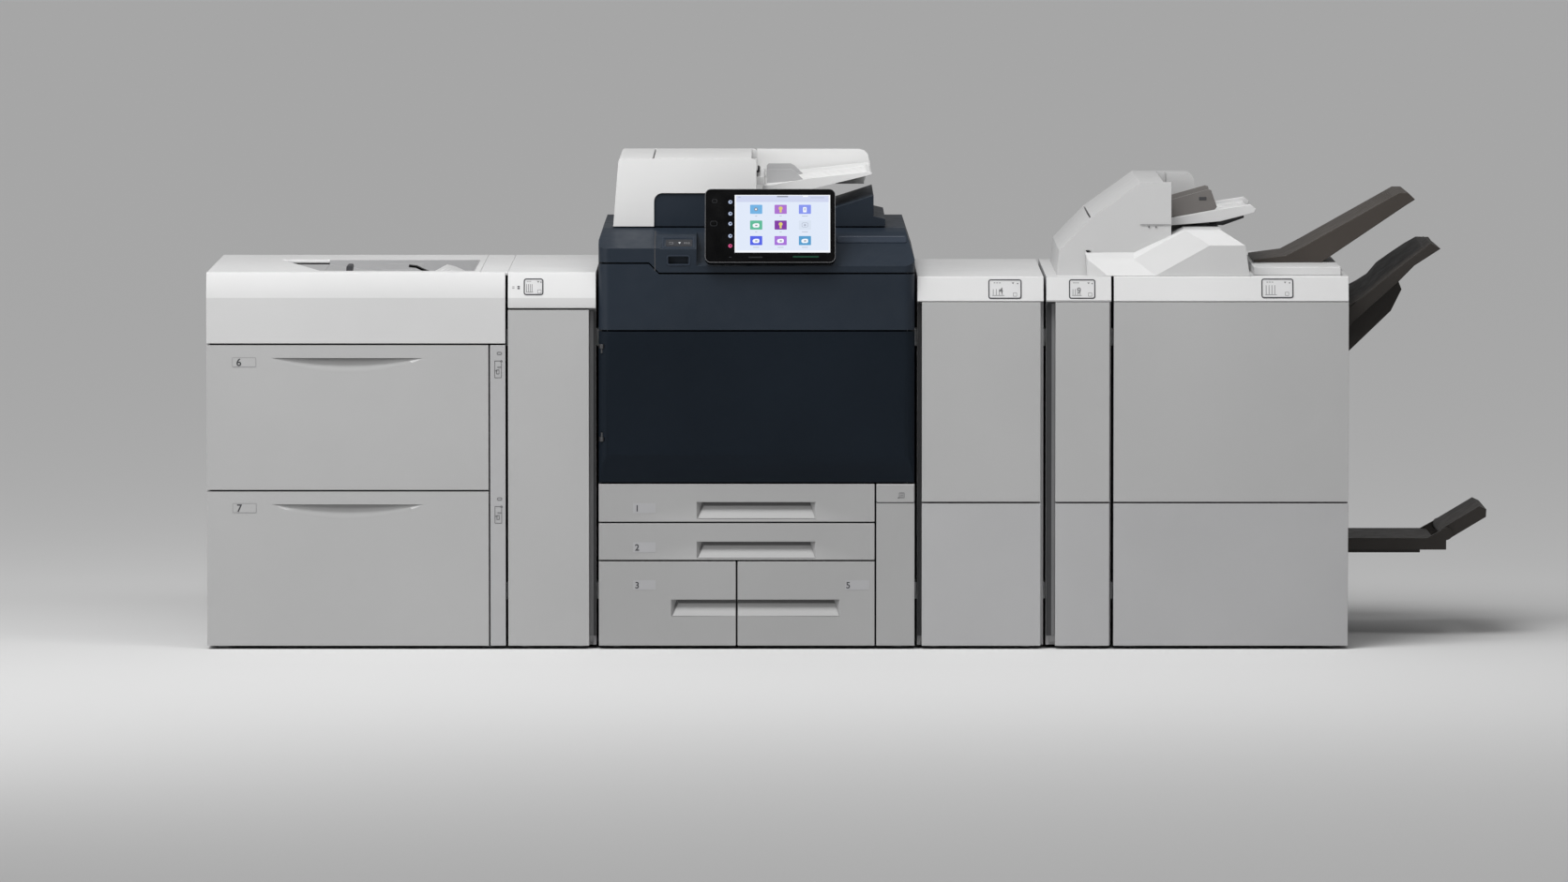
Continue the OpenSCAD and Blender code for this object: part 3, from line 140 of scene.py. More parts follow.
# The part of a noise's range that is used, and the scale and spread of the uneven gloss
NOISE_RANGE = (0.3, 0.7)
GLOSS_SCALE = 34
GLOSS_LESS = 0.05
GLOSS_MORE = 0.06
BUMP_HEIGHT = 0.0004
SHADE_BLUR = 0.0008


def set_inputs(node, values):
    for name, value in values.items():
        node.inputs[name].default_value = value


def new_material(name, colour, rough, metal=0):
    material = bpy.data.materials.new(name)
    material.use_nodes = True
    shader = material.node_tree.nodes["Principled BSDF"]
    set_inputs(shader, {"Base Color": (*colour, 1), "Roughness": rough, "Metallic": metal})
    return material, shader


def noise(tree, scale, detail, stretch=(1, 1, 1)):
    """A noise texture over the piece's own coordinates, in metres."""
    place = tree.nodes.new("ShaderNodeTexCoord")
    mapping = tree.nodes.new("ShaderNodeMapping")
    set_inputs(mapping, {"Scale": stretch})
    tree.links.new(place.outputs["Object"], mapping.inputs["Vector"])
    texture = tree.nodes.new("ShaderNodeTexNoise")
    set_inputs(texture, {"Scale": scale, "Detail": detail})
    tree.links.new(mapping.outputs["Vector"], texture.inputs["Vector"])
    return texture.outputs["Fac"]


def mapped(tree, value, old, new):
    """Maps a value from one range onto another."""
    node = tree.nodes.new("ShaderNodeMapRange")
    set_inputs(node, {"From Min": old[0], "From Max": old[1], "To Min": new[0], "To Max": new[1]})
    tree.links.new(value, node.inputs["Value"])
    return node.outputs["Result"]


def spread_value(tree, value, low, high):
    """Maps a noise value onto a range."""
    return mapped(tree, value, NOISE_RANGE, (low, high))


def tint(colour, factor):
    return (*[min(1, c * factor) for c in colour], 1)


def shaded_below(tree, paint, height, factor):
    """The paint with painted shade: darkened under a height of the piece."""
    place = tree.nodes.new("ShaderNodeTexCoord")
    split = tree.nodes.new("ShaderNodeSeparateXYZ")
    tree.links.new(place.outputs["Object"], split.inputs["Vector"])
    level = mapped(tree, split.outputs["Z"], (height - SHADE_BLUR, height + SHADE_BLUR), (factor, 1))
    darker = tree.nodes.new("ShaderNodeMix")
    darker.data_type = "RGBA"
    darker.blend_type = "MULTIPLY"
    set_inputs(darker, {"Factor": 1})
    tree.links.new(paint, darker.inputs["A"])
    tree.links.new(level, darker.inputs["B"])
    return darker.outputs["Result"]


def surface(name, colour, rough, grain, depth, cloud=2.2, change=0.03, metal=0,
            stretch=(1, 1, 1), shine=0.5, shade_below=None):
    """A surface with a fine grain, slow changes of its colour and uneven gloss.

    grain and cloud are the scales of the bump and of the colour's change, depth and change their
    strengths. shade_below holds a height and the factor of the painted shade that darkens the paint under
    that height.
    """
    material, shader = new_material(name, colour, rough, metal)
    set_inputs(shader, {"Specular IOR Level": shine})
    tree = material.node_tree
    mix = tree.nodes.new("ShaderNodeMix")
    mix.data_type = "RGBA"
    set_inputs(mix, {"A": tint(colour, 1 - change), "B": tint(colour, 1 + change)})
    slow = spread_value(tree, noise(tree, cloud, 4), 0, 1)
    tree.links.new(slow, mix.inputs["Factor"])
    paint = mix.outputs["Result"]
    if shade_below:
        paint = shaded_below(tree, paint, *shade_below)
    tree.links.new(paint, shader.inputs["Base Color"])
    gloss = spread_value(tree, noise(tree, GLOSS_SCALE, 3), rough - GLOSS_LESS, rough + GLOSS_MORE)
    tree.links.new(gloss, shader.inputs["Roughness"])
    bump = tree.nodes.new("ShaderNodeBump")
    set_inputs(bump, {"Strength": depth, "Distance": BUMP_HEIGHT})
    tree.links.new(noise(tree, grain, 3, stretch), bump.inputs["Height"])
    tree.links.new(bump.outputs["Normal"], shader.inputs["Normal"])
    return material


LIGHT = surface("light_cover", (0.41, 0.41, 0.41), 0.42, 1300, 0.10)
TRAY_LIGHT = surface("light_cover_trays", (0.345, 0.345, 0.345), 0.44, 1300, 0.10)
PALE = surface("pale_cover", (0.62, 0.62, 0.62), 0.38, 1300, 0.08)
# Painted shade: the top covers' paint is darker below the leaning band's crease, where their upright
# fronts catch less light than the band
FEEDER_COVER_PAINTED_SHADE = surface("feeder_cover_with_painted_shade", (0.66, 0.66, 0.66), 0.38, 1300, 0.08,
                      shade_below=(0.8286, 0.84))
WARM = surface("warm_white_cover", (0.68, 0.68, 0.677), 0.36, 1300, 0.08)
NAVY = surface("navy_cover", (0.0115, 0.0180, 0.0280), 0.46, 750, 0.42, 3, 0.10, shine=0.28)
NAVY_DOOR = surface("navy_door", (0.0072, 0.0110, 0.0165), 0.50, 750, 0.42, 3, 0.10, shine=0.08)
GREY = surface("grey_moulding", (0.20, 0.20, 0.205), 0.5, 1100, 0.15, 4, 0.06)
MID_GREY = surface("mid_grey_moulding", (0.36, 0.36, 0.365), 0.46, 1100, 0.14, 4, 0.05)
DARK = surface("dark_inside", (0.045, 0.045, 0.048), 0.6, 1000, 0.2, 5, 0.12)
BROWN = surface("smoky_tray", (0.050, 0.042, 0.036), 0.48, 850, 0.26, 4, 0.10, shine=0.35)
BROWN_DEEP = surface("smoky_tray_deep", (0.030, 0.026, 0.023), 0.5, 850, 0.26, 4, 0.10, shine=0.3)
HOOD = surface("hood_cover", (0.52, 0.52, 0.52), 0.42, 1300, 0.08)
BLACK = surface("gloss_black", (0.0022, 0.0022, 0.0024), 0.22, 400, 0.02, 3, 0.2, shine=0.06)
METAL = surface("galvanised_sheet", (0.50, 0.51, 0.52), 0.38, 240, 0.10, 14, 0.10, metal=0.85)
STEEL = surface("steel_shaft", (0.55, 0.55, 0.56), 0.28, 500, 0.1, 6, 0.05, metal=1, stretch=(8, 0.4, 8))
CABINET = surface("cabinet_paint", (0.40, 0.40, 0.405), 0.5, 620, 0.30, 3, 0.03)
RUBBER = surface("roller_rubber", (0.03, 0.03, 0.032), 0.8, 900, 0.4, 8, 0.15)


def glass_material():
    material, shader = new_material("platen_glass", (0.82, 0.9, 0.9), 0.03)
    set_inputs(shader, {"Transmission Weight": 0.85, "IOR": 1.5})
    tree = material.node_tree
    haze = spread_value(tree, noise(tree, 30, 3), 0.02, 0.07)
    tree.links.new(haze, shader.inputs["Roughness"])
    return material


GLASS = glass_material()
PANEL_RIM = surface("panel_rim", (0.10, 0.10, 0.105), 0.34, 900, 0.05, 6, 0.06)
LABEL = surface("label_film", (0.60, 0.60, 0.605), 0.32, 500, 0.04, 5, 0.02)
INK = surface("label_ink", (0.045, 0.045, 0.05), 0.45, 800, 0.05, 20, 0.08)
INK_SOFT = surface("label_soft_ink", (0.14, 0.14, 0.145), 0.5, 800, 0.05, 20, 0.08)
TAG = surface("tag_film", (0.375, 0.375, 0.385), 0.34, 500, 0.04, 6, 0.02)
TAG_EDGE = surface("tag_edge", (0.30, 0.30, 0.305), 0.45, 800, 0.05, 10, 0.04)
NAVY_SOFT = surface("navy_trim", (0.022, 0.030, 0.044), 0.40, 900, 0.2, 4, 0.08, shine=0.25)
SIGN_GREY = surface("sign_window", (0.030, 0.031, 0.035), 0.30, 600, 0.05, 8, 0.08, shine=0.3)
SIGN_LIGHT = surface("sign_light", (0.42, 0.43, 0.45), 0.4, 600, 0.05, 20, 0.04)
TRIM_LINE = surface("trim_line", (0.10, 0.11, 0.13), 0.35, 600, 0.05, 20, 0.06)
# A darker copy of the warm white, painted shade for the lid grip's floor
WARM_SHADE = surface("warm_shade", (0.50, 0.50, 0.495), 0.45, 900, 0.1, 6, 0.04)
GUIDE_GREY = surface("guide_grey", (0.155, 0.145, 0.138), 0.46, 900, 0.18, 5, 0.06)
# Painted light and shade for the tray handles: a lighter copy of the tray paint on the sloping floor, a
# painted shadow under the top and painted shade on the left cheek
HANDLE_PAINTED_LIGHT = surface("handle_slope_painted_light", (0.36, 0.36, 0.36), 0.44, 1300, 0.10)
HANDLE_PAINTED_SHADOW = surface("handle_top_painted_shadow", (0.14, 0.14, 0.14), 0.5, 1300, 0.10)
HANDLE_PAINTED_CHEEK_SHADE = surface("handle_left_painted_shade", (0.15, 0.15, 0.15), 0.5, 1300, 0.10)


# Carried-over nodes: their materials and soft edges

WELD_DISTANCE = 0.00002
FLAT_ANGLE = 0.5
NODE_EDGE_ANGLE = 30
PIECE_EDGE_ANGLE = 40
NORMALS_WEIGHT = 80


def soft_edges(item, width, angle):
    """Rounds the edges of an object that are sharper than an angle; the width is in mm."""
    edge = item.modifiers.new("soft_edges", "BEVEL")
    edge.width = width * MM
    edge.segments = 2
    edge.limit_method = "ANGLE"
    edge.angle_limit = math.radians(angle)


def finish_node(name, material, edge_width):
    """Gives a carried-over node its material and soft edges."""
    node = nodes[name]
    node.data.materials.clear()
    node.data.materials.append(material)
    weld = node.modifiers.new("weld", "WELD")
    weld.merge_threshold = WELD_DISTANCE
    flat = node.modifiers.new("flat_faces", "DECIMATE")
    flat.decimate_type = "DISSOLVE"
    flat.angle_limit = math.radians(FLAT_ANGLE)
    soft_edges(node, edge_width, NODE_EDGE_ANGLE)
    for polygon in node.data.polygons:
        polygon.use_smooth = True
    normals = node.modifiers.new("face_normals", "WEIGHTED_NORMAL")
    normals.keep_sharp = False
    normals.weight = NORMALS_WEIGHT


# Each look with the width of its soft edges in mm, and the nodes that have it
NODE_LOOKS = (
    (CABINET, 1, "feeder_cabinet transport_cabinet cooler_cabinet inserter_cabinet finisher_cabinet"),
    (FEEDER_COVER_PAINTED_SHADE, 1.8, "feeder_top_cover"),
    (MID_GREY, 0.6, "bypass_tray bypass_guide_front bypass_guide_rear"),
    (PALE, 1.2, "bypass_feed_head"),
    (LIGHT, 1.6, "upper_drawer_front lower_drawer_front"),
    (LIGHT, 1.6, "transport_door cooler_door inserter_door finisher_door"),
    (METAL, 0.4, "upper_drawer_tray lower_drawer_tray drawer_runners docking_brackets"),
    (FEEDER_COVER_PAINTED_SHADE, 1.6, "transport_top_cover"),
    (RUBBER, 0.5, "transport_rollers"),
    (DARK, 0.6, "engine_frame"),
    (NAVY_DOOR, 1.6, "engine_front_door"),
    (NAVY, 1.6, "upper_front_cover scanner_deck document_cover"),
    (DARK, 1, "toner_cartridges fuser_unit"),
    (STEEL, 0.5, "drum_units"),
    (DARK, 0.8, "transfer_belt_unit"),
    (TRAY_LIGHT, 1.4, "tray_1_front tray_2_front tray_3_front tray_5_front side_column"),
    (GREY, 0.5, "tray_1_box tray_2_box tray_3_box tray_5_box"),
    (GLASS, 0.3, "platen_glass"),
    (WARM, 4, "document_feeder"),
    (WARM, 1.6, "feeder_lid"),
    (WARM, 1, "document_tray"),
    (BLACK, 1.2, "control_panel"),
    (BLACK, 0.3, "screen_glass"),
    (BLACK, 0.4, "power_button"),
    (PALE, 1.6, "cooler_top_cover finisher_top_cover"),
    (HOOD, 2.2, "inserter_head"),
    (HOOD, 1.2, "inserter_lid"),
    (MID_GREY, 1, "inserter_tray"),
    (PALE, 2.2, "bridge_cover"),
    (BROWN, 1.6, "top_exit_tray"),
    (BROWN_DEEP, 1.6, "stacker_tray"),
    (BROWN_DEEP, 1.2, "booklet_tray booklet_flap"),
    (METAL, 0.6, "levelling_feet"),
    (DARK, 0.5, "power_inlet"),
)


# Pieces drawn on a flat face

CORNER_STEPS = 5
# The least lean that shrink allows for, so that sharp points don't run far inwards
LEAST_LEAN = 0.35
# The chamfer at a rod's ends, as a share of its radius
ROD_CHAMFER = 0.14
# A numeral's height as a share of its type size, and how much its strokes are thickened
NUMERAL_HEIGHT = 0.7
NUMERAL_STROKE = 0.02


def box_mm(node):
    """A node's lowest and highest corners, in mm."""
    low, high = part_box(node)
    return [value / MM for value in low], [value / MM for value in high]


def round_corners(u, v, radius):
    """The outline of a rectangle with round corners."""
    points = []
    corners = [(u[1] - radius, v[0] + radius, -90), (u[1] - radius, v[1] - radius, 0),
               (u[0] + radius, v[1] - radius, 90), (u[0] + radius, v[0] + radius, 180)]
    for centre_u, centre_v, start in corners:
        for step in range(CORNER_STEPS + 1):
            angle = math.radians(start + 90 * step / CORNER_STEPS)
            points.append((centre_u + radius * math.cos(angle), centre_v + radius * math.sin(angle)))
    return points


def circle(centre, radius, steps):
    turn = 2 * math.pi / steps
    return [(centre[0] + radius * math.cos(turn * i), centre[1] + radius * math.sin(turn * i))
            for i in range(steps)]


def shrink(outline, amount):
    """Moves each point of a counter-clockwise outline inwards by the same amount."""
    moved = []
    count = len(outline)
    for i in range(count):
        here = Vector(outline[i])
        before = (here - Vector(outline[i - 1])).normalized()
        after = (Vector(outline[(i + 1) % count]) - here).normalized()
        normal = Vector((-before.y - after.y, before.x + after.x)).normalized()
        lean = max(LEAST_LEAN, normal.dot(Vector((-before.y, before.x))))
        moved.append(tuple(here + normal * amount / lean))
    return moved


def along(points, y):
    """An outline in X and Z as a ring at the depth y of a front piece."""
    return [(u, v, -y) for u, v in points]


class Piece:
    """One mesh piece, drawn in mm on a face: u runs across, v up and w out of the face."""

    def __init__(self, origin, across=RIGHT, up=UP):
        across = Vector(across).normalized()
        up = Vector(up).normalized()
        out = across.cross(up)
        self.matrix = Matrix((across, up, out)).transposed().to_4x4()
        self.matrix.translation = Vector(origin)
        self.mesh = bmesh.new()
        self.materials = []

    def index_of(self, material):
        """A material's place in the piece's list, where a new one is added."""
        if material not in self.materials:
            self.materials.append(material)
        return self.materials.index(material)

    def skin(self, first, second, index):
        """Four-sided faces between two rings of points."""
        for i in range(len(first)):
            j = (i + 1) % len(first)
            self.mesh.faces.new((first[i], first[j], second[j], second[i])).material_index = index

    def faces(self, rings, material):
        """Skins a row of rings that have equally many points, and caps both ends."""
        index = self.index_of(material)
        rows = [[self.mesh.verts.new(point) for point in ring] for ring in rings]
        for low, high in zip(rows, rows[1:]):
            self.skin(low, high, index)
        for cap in (rows[0][::-1], rows[-1]):
            self.mesh.faces.new(cap).material_index = index

    def prism(self, outline, low, high, material, edge=0):
        """A closed plate over an outline, with a small slope round its outer edge."""
        levels = [(outline, low), (outline, high - edge)]
        if edge:
            levels.append((shrink(outline, edge), high))
        self.faces([[(u, v, w) for u, v in points] for points, w in levels], material)

    def profile(self, outline, near, far, material):
        """A bar with an outline in X and Z that runs back from one depth to another."""
        self.faces([along(outline, far), along(outline, near)], material)

    def plate(self, u, v, low, high, material, corner=0, edge=0):
        """A plate over a rectangle, from low to high in w, with round corners where asked."""
        outline = [(u[0], v[0]), (u[1], v[0]), (u[1], v[1]), (u[0], v[1])]
        if corner:
            outline = round_corners(u, v, corner)
        self.prism(outline, low, high, material, edge)

    def frame(self, u, v, width, low, high, material, corner=0):
        """A ring between a rounded rectangle and the same one shrunk by width."""
        outer = round_corners(u, v, corner)
        inner = shrink(outer, width)
        index = self.index_of(material)
        rows = [[self.mesh.verts.new((a, b, w)) for a, b in points]
                for points, w in ((outer, low), (outer, high), (inner, high), (inner, low))]
        for k in range(4):
            self.skin(rows[k], rows[(k + 1) % 4], index)

    def block(self, centre, half_u, half_v, low, high, material, corner=0):
        """A plate given by its centre and half its sides."""
        u, v = centre
        self.plate((u - half_u, u + half_u), (v - half_v, v + half_v), low, high, material, corner)

    def disc(self, centre, radius, low, high, material, edge=0, steps=32):
        self.prism(circle(centre, radius, steps), low, high, material, edge)

    def bar(self, start, end, radius, material, steps):
        """A round rod between two points of the face's own frame."""
        start = Vector(start)
        end = Vector(end)
        turn = (end - start).to_track_quat("Z", "X").to_matrix()
        ring = [turn @ Vector((u, v, 0)) for u, v in circle((0, 0), radius, steps)]
        rim = [point * (1 - ROD_CHAMFER) for point in ring]
        inset = (end - start).normalized() * ROD_CHAMFER * radius
        self.faces([[start + p for p in rim], [start + inset + p for p in ring],
                    [end - inset + p for p in ring], [end + p for p in rim]], material)

    def words(self, text, height, centre, low, high, material):
        """Plain numerals from the built-in typeface, as solid shapes."""
        curve = bpy.data.curves.new("numeral", "FONT")
        curve.body = text
        curve.size = height / NUMERAL_HEIGHT
        curve.align_x = "CENTER"
        curve.extrude = (high - low) / 2
        curve.offset = NUMERAL_STROKE * height
        source = add_object("numeral", curve)
        bpy.context.view_layer.update()
        graph = bpy.context.evaluated_depsgraph_get()
        made = bpy.data.meshes.new_from_object(source.evaluated_get(graph))
        bpy.data.objects.remove(source)
        before = len(self.mesh.faces)
        made.transform(Matrix.Translation((centre[0], centre[1] - height / 2, (low + high) / 2)))
        self.mesh.from_mesh(made)
        bpy.data.meshes.remove(made)
        self.mesh.faces.ensure_lookup_table()
        index = self.index_of(material)
        for face in self.mesh.faces[before:]:
            face.material_index = index

    def finish(self, name, slot, edge_width=0, body="machine"):
        """Turns the shapes into an object that rides on a body."""
        self.mesh.transform(Matrix.Scale(MM, 4) @ self.matrix)
        bmesh.ops.recalc_face_normals(self.mesh, faces=self.mesh.faces[:])
        data = bpy.data.meshes.new(name)
        self.mesh.to_mesh(data)
        self.mesh.free()
        for material in self.materials:
            data.materials.append(material)
        item = add_object(name, data)
        if edge_width:
            soft_edges(item, edge_width, PIECE_EDGE_ANGLE)
        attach(item, body)
        return item


def front_piece(y=0):
    """A piece whose u is X, v is Z and w runs towards the viewer from the plane at y."""
    return Piece((0, y, 0))


# Touch panel: its face leans back, v runs up the glass, and each layer has its own low and high w

PANEL_ORIGIN = (0, -427, 914)
PANEL_LEAN = math.radians(22)
PANEL_DEPTH = 18.2
PANEL_UP = (0, math.sin(PANEL_LEAN), math.cos(PANEL_LEAN))
SCREEN_U = (-273.4, -49.2)
SCREEN_V = (25, 168)
DARK_SCREEN = (0.004, 0.004, 0.004)
SCREEN_ROUGHNESS = 0.25
SCREEN_SHINE = 0.2
ICON_SIZE = (28.6, 22.6)
ICON_COLUMNS = (-223, -165.6, -108.6)
ICON_ROWS = (132.3, 93.1, 54.6)
GLOW_LAYER = (-0.6, -0.30)
PAGE_LAYER = (-0.32, -0.26)
HEADER_LAYER = (-0.27, -0.22)
TILE_LAYER = (-0.28, -0.20)
CAPTION_LAYER = (-0.28, -0.22)
GLYPH_LAYER = (-0.20, -0.15)
GLYPH_TOP_LAYER = (-0.16, -0.12)
SIDE_LAYER = (-0.42, -0.30)
SIDE_TOP_LAYER = (-0.31, -0.24)
DIM_LAYER = (-0.42, -0.34)


def srgb(red, green, blue):
    """Turns screen values of 0 to 255 into linear ones."""
    def linear(value):
        value = value / 255
        return value / 12.92 if value <= 0.04045 else ((value + 0.055) / 1.055) ** 2.4
    return (linear(red), linear(green), linear(blue))


def lit(name, red, green, blue, strength=0.97):
    """A dark screen surface that gives off its own light."""
    material, shader = new_material(name, DARK_SCREEN, SCREEN_ROUGHNESS)
    set_inputs(shader, {"Specular IOR Level": SCREEN_SHINE, "Emission Strength": strength,
                        "Emission Color": (*srgb(red, green, blue), 1)})
    return material


SCREEN_WHITE = lit("screen_white", 247, 250, 255)
SCREEN_BLUE = lit("screen_pale_blue", 226, 235, 251)
SCREEN_HEADER = lit("screen_header", 208, 215, 240)
SCREEN_MARK = lit("screen_grey_mark", 128, 134, 150)
SCREEN_FAINT = lit("screen_faint_mark", 176, 184, 202)
SCREEN_YELLOW = lit("screen_yellow", 224, 208, 110)
SIDE_PINK = lit("side_icon_pink", 235, 90, 150, 0.8)
SIDE_PALE = lit("side_icon_pale", 190, 205, 235, 0.8)
DARK_MARK = lit("panel_dim_mark", 52, 54, 58, 0.5)
DIM_GREEN = lit("panel_dim_green", 10, 78, 52, 0.6)
DIM_GREY = lit("panel_dim_bar", 40, 44, 44, 0.5)
ICON_COLOURS = [
    [(112, 178, 228), (172, 112, 208), (134, 150, 240)],
    [(92, 186, 152), (128, 52, 164), (218, 228, 243)],
    [(80, 98, 232), (166, 112, 218), (84, 158, 208)],
]


def panel_piece():
    return Piece(PANEL_ORIGIN, RIGHT, PANEL_UP)


def build_screen():
    """The lit page with its header, the header's marks, and the page under it."""
    screen = panel_piece()
    left, right = SCREEN_U
    inner_u = (left + 3.5, right - 3.5)
    middle = (left + right) / 2
    header_v = 150.5
    layers = ((SCREEN_U, SCREEN_V, GLOW_LAYER, SCREEN_WHITE),
              (inner_u, (SCREEN_V[0] + 5, header_v), PAGE_LAYER, SCREEN_BLUE),
              (inner_u, (header_v, SCREEN_V[1] - 2), PAGE_LAYER, SCREEN_HEADER),
              ((middle - 13, middle + 13), (162.6, 165.4), HEADER_LAYER, SCREEN_MARK),
              ((middle + 48, middle + 60), (163, 167), HEADER_LAYER, SCREEN_WHITE),
              ((middle + 66, middle + 98), (160.6, 161.8), HEADER_LAYER, SCREEN_FAINT),
              ((left + 8, left + 14), (161.5, 163), HEADER_LAYER, SCREEN_FAINT))
    for u, v, layer, look in layers:
        screen.plate(u, v, *layer, look)
    screen.finish("screen_picture", "screen", body="screen_panel")


def icon_glyph(icon, row, column, u, v):
    """A plain sign on an icon: a bulb, a lens, a page, a ring or a cloud."""
    if column == 1 and row < 2:
        icon.disc((u, v + 2.5), 4.6, *GLYPH_LAYER, SCREEN_YELLOW)
        icon.plate((u - 2.4, u + 2.4), (v - 8, v - 1), *GLYPH_LAYER, SCREEN_YELLOW, 1)
    elif row == 0 and column == 0:
        icon.disc((u - 0.5, v), 4.4, *GLYPH_LAYER, SCREEN_MARK)
        icon.disc((u - 0.5, v), 2.2, *GLYPH_TOP_LAYER, SCREEN_WHITE)
    elif row == 0:
        icon.plate((u - 4.5, u + 4), (v - 7.5, v + 5.5), *GLYPH_LAYER, SCREEN_WHITE, 1.4)
        icon.plate((u - 1.6, u + 1.4), (v - 3, v + 3), *GLYPH_TOP_LAYER, SCREEN_FAINT, 0.8)
    elif row == 1 and column == 2:
        icon.frame((u - 7.5, u + 7.5), (v - 5.5, v + 6.5), 1.1, *GLYPH_LAYER, SCREEN_FAINT, 4)
        icon.disc((u, v), 2.6, *GLYPH_LAYER, SCREEN_FAINT)
    else:
        icon.disc((u - 3.4, v - 1.2), 5, *GLYPH_LAYER, SCREEN_WHITE)
        icon.plate((u - 5, u + 7.4), (v - 6, v + 4.4), *GLYPH_LAYER, SCREEN_WHITE, 3.6)
        icon.plate((u - 2.4, u + 3), (v - 2.2, v + 0.6), *GLYPH_TOP_LAYER, SCREEN_MARK, 1)


def build_icons():
    """Nine tiles, each with a sign and a short caption line under it."""
    half_u = ICON_SIZE[0] / 2
    half_v = ICON_SIZE[1] / 2
    for row, v in enumerate(ICON_ROWS):
        for column, u in enumerate(ICON_COLUMNS):
            icon = panel_piece()
            tile = lit(f"icon_{row}_{column}_colour", *ICON_COLOURS[row][column])
            icon.block((u, v), half_u, half_v, *TILE_LAYER, tile, 1.5)
            icon_glyph(icon, row, column, u, v)
            caption = 7 if column == 2 or row == 2 else 2.5
            icon.plate((u - caption, u + caption), (v - half_v - 6.2, v - half_v - 4.8), *CAPTION_LAYER,
                       SCREEN_FAINT)
            icon.finish(f"screen_icon_{row}_{column}", "screen", body="screen_panel")


def build_panel_marks():
    """The row of round keys beside the screen, and the dim signs round it."""
    marks = panel_piece()
    side_u = -283.8
    for v, material in ((150.5, SIDE_PALE), (121.5, SIDE_PALE), (96.5, SIDE_PALE), (66, SIDE_PALE),
                        (41.5, SIDE_PINK)):
        marks.disc((side_u, v), 4.6, *SIDE_LAYER, material, steps=20)
        marks.disc((side_u + 0.6, v + 0.4), 1.9, *SIDE_TOP_LAYER, BLACK, steps=12)
    marks.plate((side_u - 3, side_u + 3), (12.5, 14.5), -0.42, -0.32, DARK_MARK)
    marks.frame((-326.5, -314.5), (148.5, 157.5), 1.3, *SIDE_LAYER, DARK_MARK, 3)
    marks.frame((-331, -314.2), (90.5, 103.5), 1.3, *SIDE_LAYER, DARK_MARK, 5)
    marks.plate((-241, -208), (11.5, 15), *DIM_LAYER, DIM_GREY, 1.5)
    marks.plate((-137, -76), (12.5, 16.5), *DIM_LAYER, DIM_GREEN, 1.5)
    marks.finish("panel_marks", "screen", body="screen_panel")


def build_panel_trim():
    """The thin grey rim round the glass, and the housing's rear ribs and screws."""
    rim = panel_piece()
    rim.frame((-343, -37.2), (0.1, 182.9), 1.1, -2, 0.15, PANEL_RIM, 14)
    rim.finish("panel_rim", "black_plastic", body="screen_panel")
    back = Piece((0, PANEL_ORIGIN[1] + PANEL_DEPTH * math.cos(PANEL_LEAN),
                  PANEL_ORIGIN[2] - PANEL_DEPTH * math.sin(PANEL_LEAN)), LEFT, PANEL_UP)
    for v in range(116, 159, 7):
        for u in ((80, 170), (216, 300)):
            back.plate(u, (v, v + 3), -0.4, 1.6, GREY, 1.2)
    for u in (60, 320):
        for v in (14, 169):
            screw_head(back, u, v, SMALL_SCREW)
    back.finish("panel_back_ribs", "black_plastic", body="screen_panel")


# Screws: the head's radius, low and high, its chamfer, and the dark cross's arm, half width and rise

SMALL_SCREW = (3.4, SUNK, 1.2, 0.5, 0.62 * 3.4, 0.16 * 3.4, 0.06)
PANEL_SCREW = (5, 0.9, 2.3, 0.9, 3, 0.7, 0.12)


def screw_head(piece, u, v, kind):
    """A pan-head screw with a cross recess drawn as a dark plus."""
    radius, low, high, edge, arm, wide, rise = kind
    piece.disc((u, v), radius, low, high, STEEL, edge, 20)
    piece.block((u, v), arm, wide, high - 0.1, high + rise, DARK)
    piece.block((u, v), wide, arm, high - 0.1, high + rise + 0.01, DARK)


# Printed labels: the leaning band's run and rise, and the low and high w of a print

BAND_RUN = 14
BAND_RISE = 56
PRINT_LAYER = (0.4, 0.7)
SIGN_LAYER = (1.4, 1.8)
# The middle of the post beside the drawers, and the heights of the tags' numerals
POST_U = -829.8
DRAWER_DIGIT = 17.25
TRAY_DIGIT = 14.95
DRAWER_TAG_U = (-1455, -1398.5)
TRAY_TAG_U = (-513, -460)
# Each label: its name, the top of its band, its place across and up the band, and its numeral
LABELS = (("label_transport", 888, (-769.3, -723.1), (3, 43), ""),
          ("label_cooler", 878, (322.3, 400.7), (4.3, 51.2), "4"),
          ("label_inserter", 878, (511.8, 574), (4.3, 51.2), "9"),
          ("label_finisher", 878, (964, 1039.3), (6, 53), ""))
# Each tag: the body it rides on, its place in X and Z, its numeral and the numeral's middle in X
TAGS = (("upper_drawer", DRAWER_TAG_U, (665.8, 688.6), "6", -1439),
        ("lower_drawer", DRAWER_TAG_U, (322, 344.8), "7", -1439),
        ("tray_1", TRAY_TAG_U, (321.1, 344.6), "1", -503.1),
        ("tray_2", TRAY_TAG_U, (228.5, 252.4), "2", -503.4),
        ("tray_3", TRAY_TAG_U, (140.2, 162.7), "3", -503.4),
        ("tray_5", (-13.8, 43.4), (140.2, 162.7), "5", -6.8))


def band_face(z_top):
    """The leaning band above the fronts; v runs up its slope from the crease."""
    return Piece((0, FRONT, z_top - BAND_RISE), RIGHT, (0, BAND_RUN, BAND_RISE))


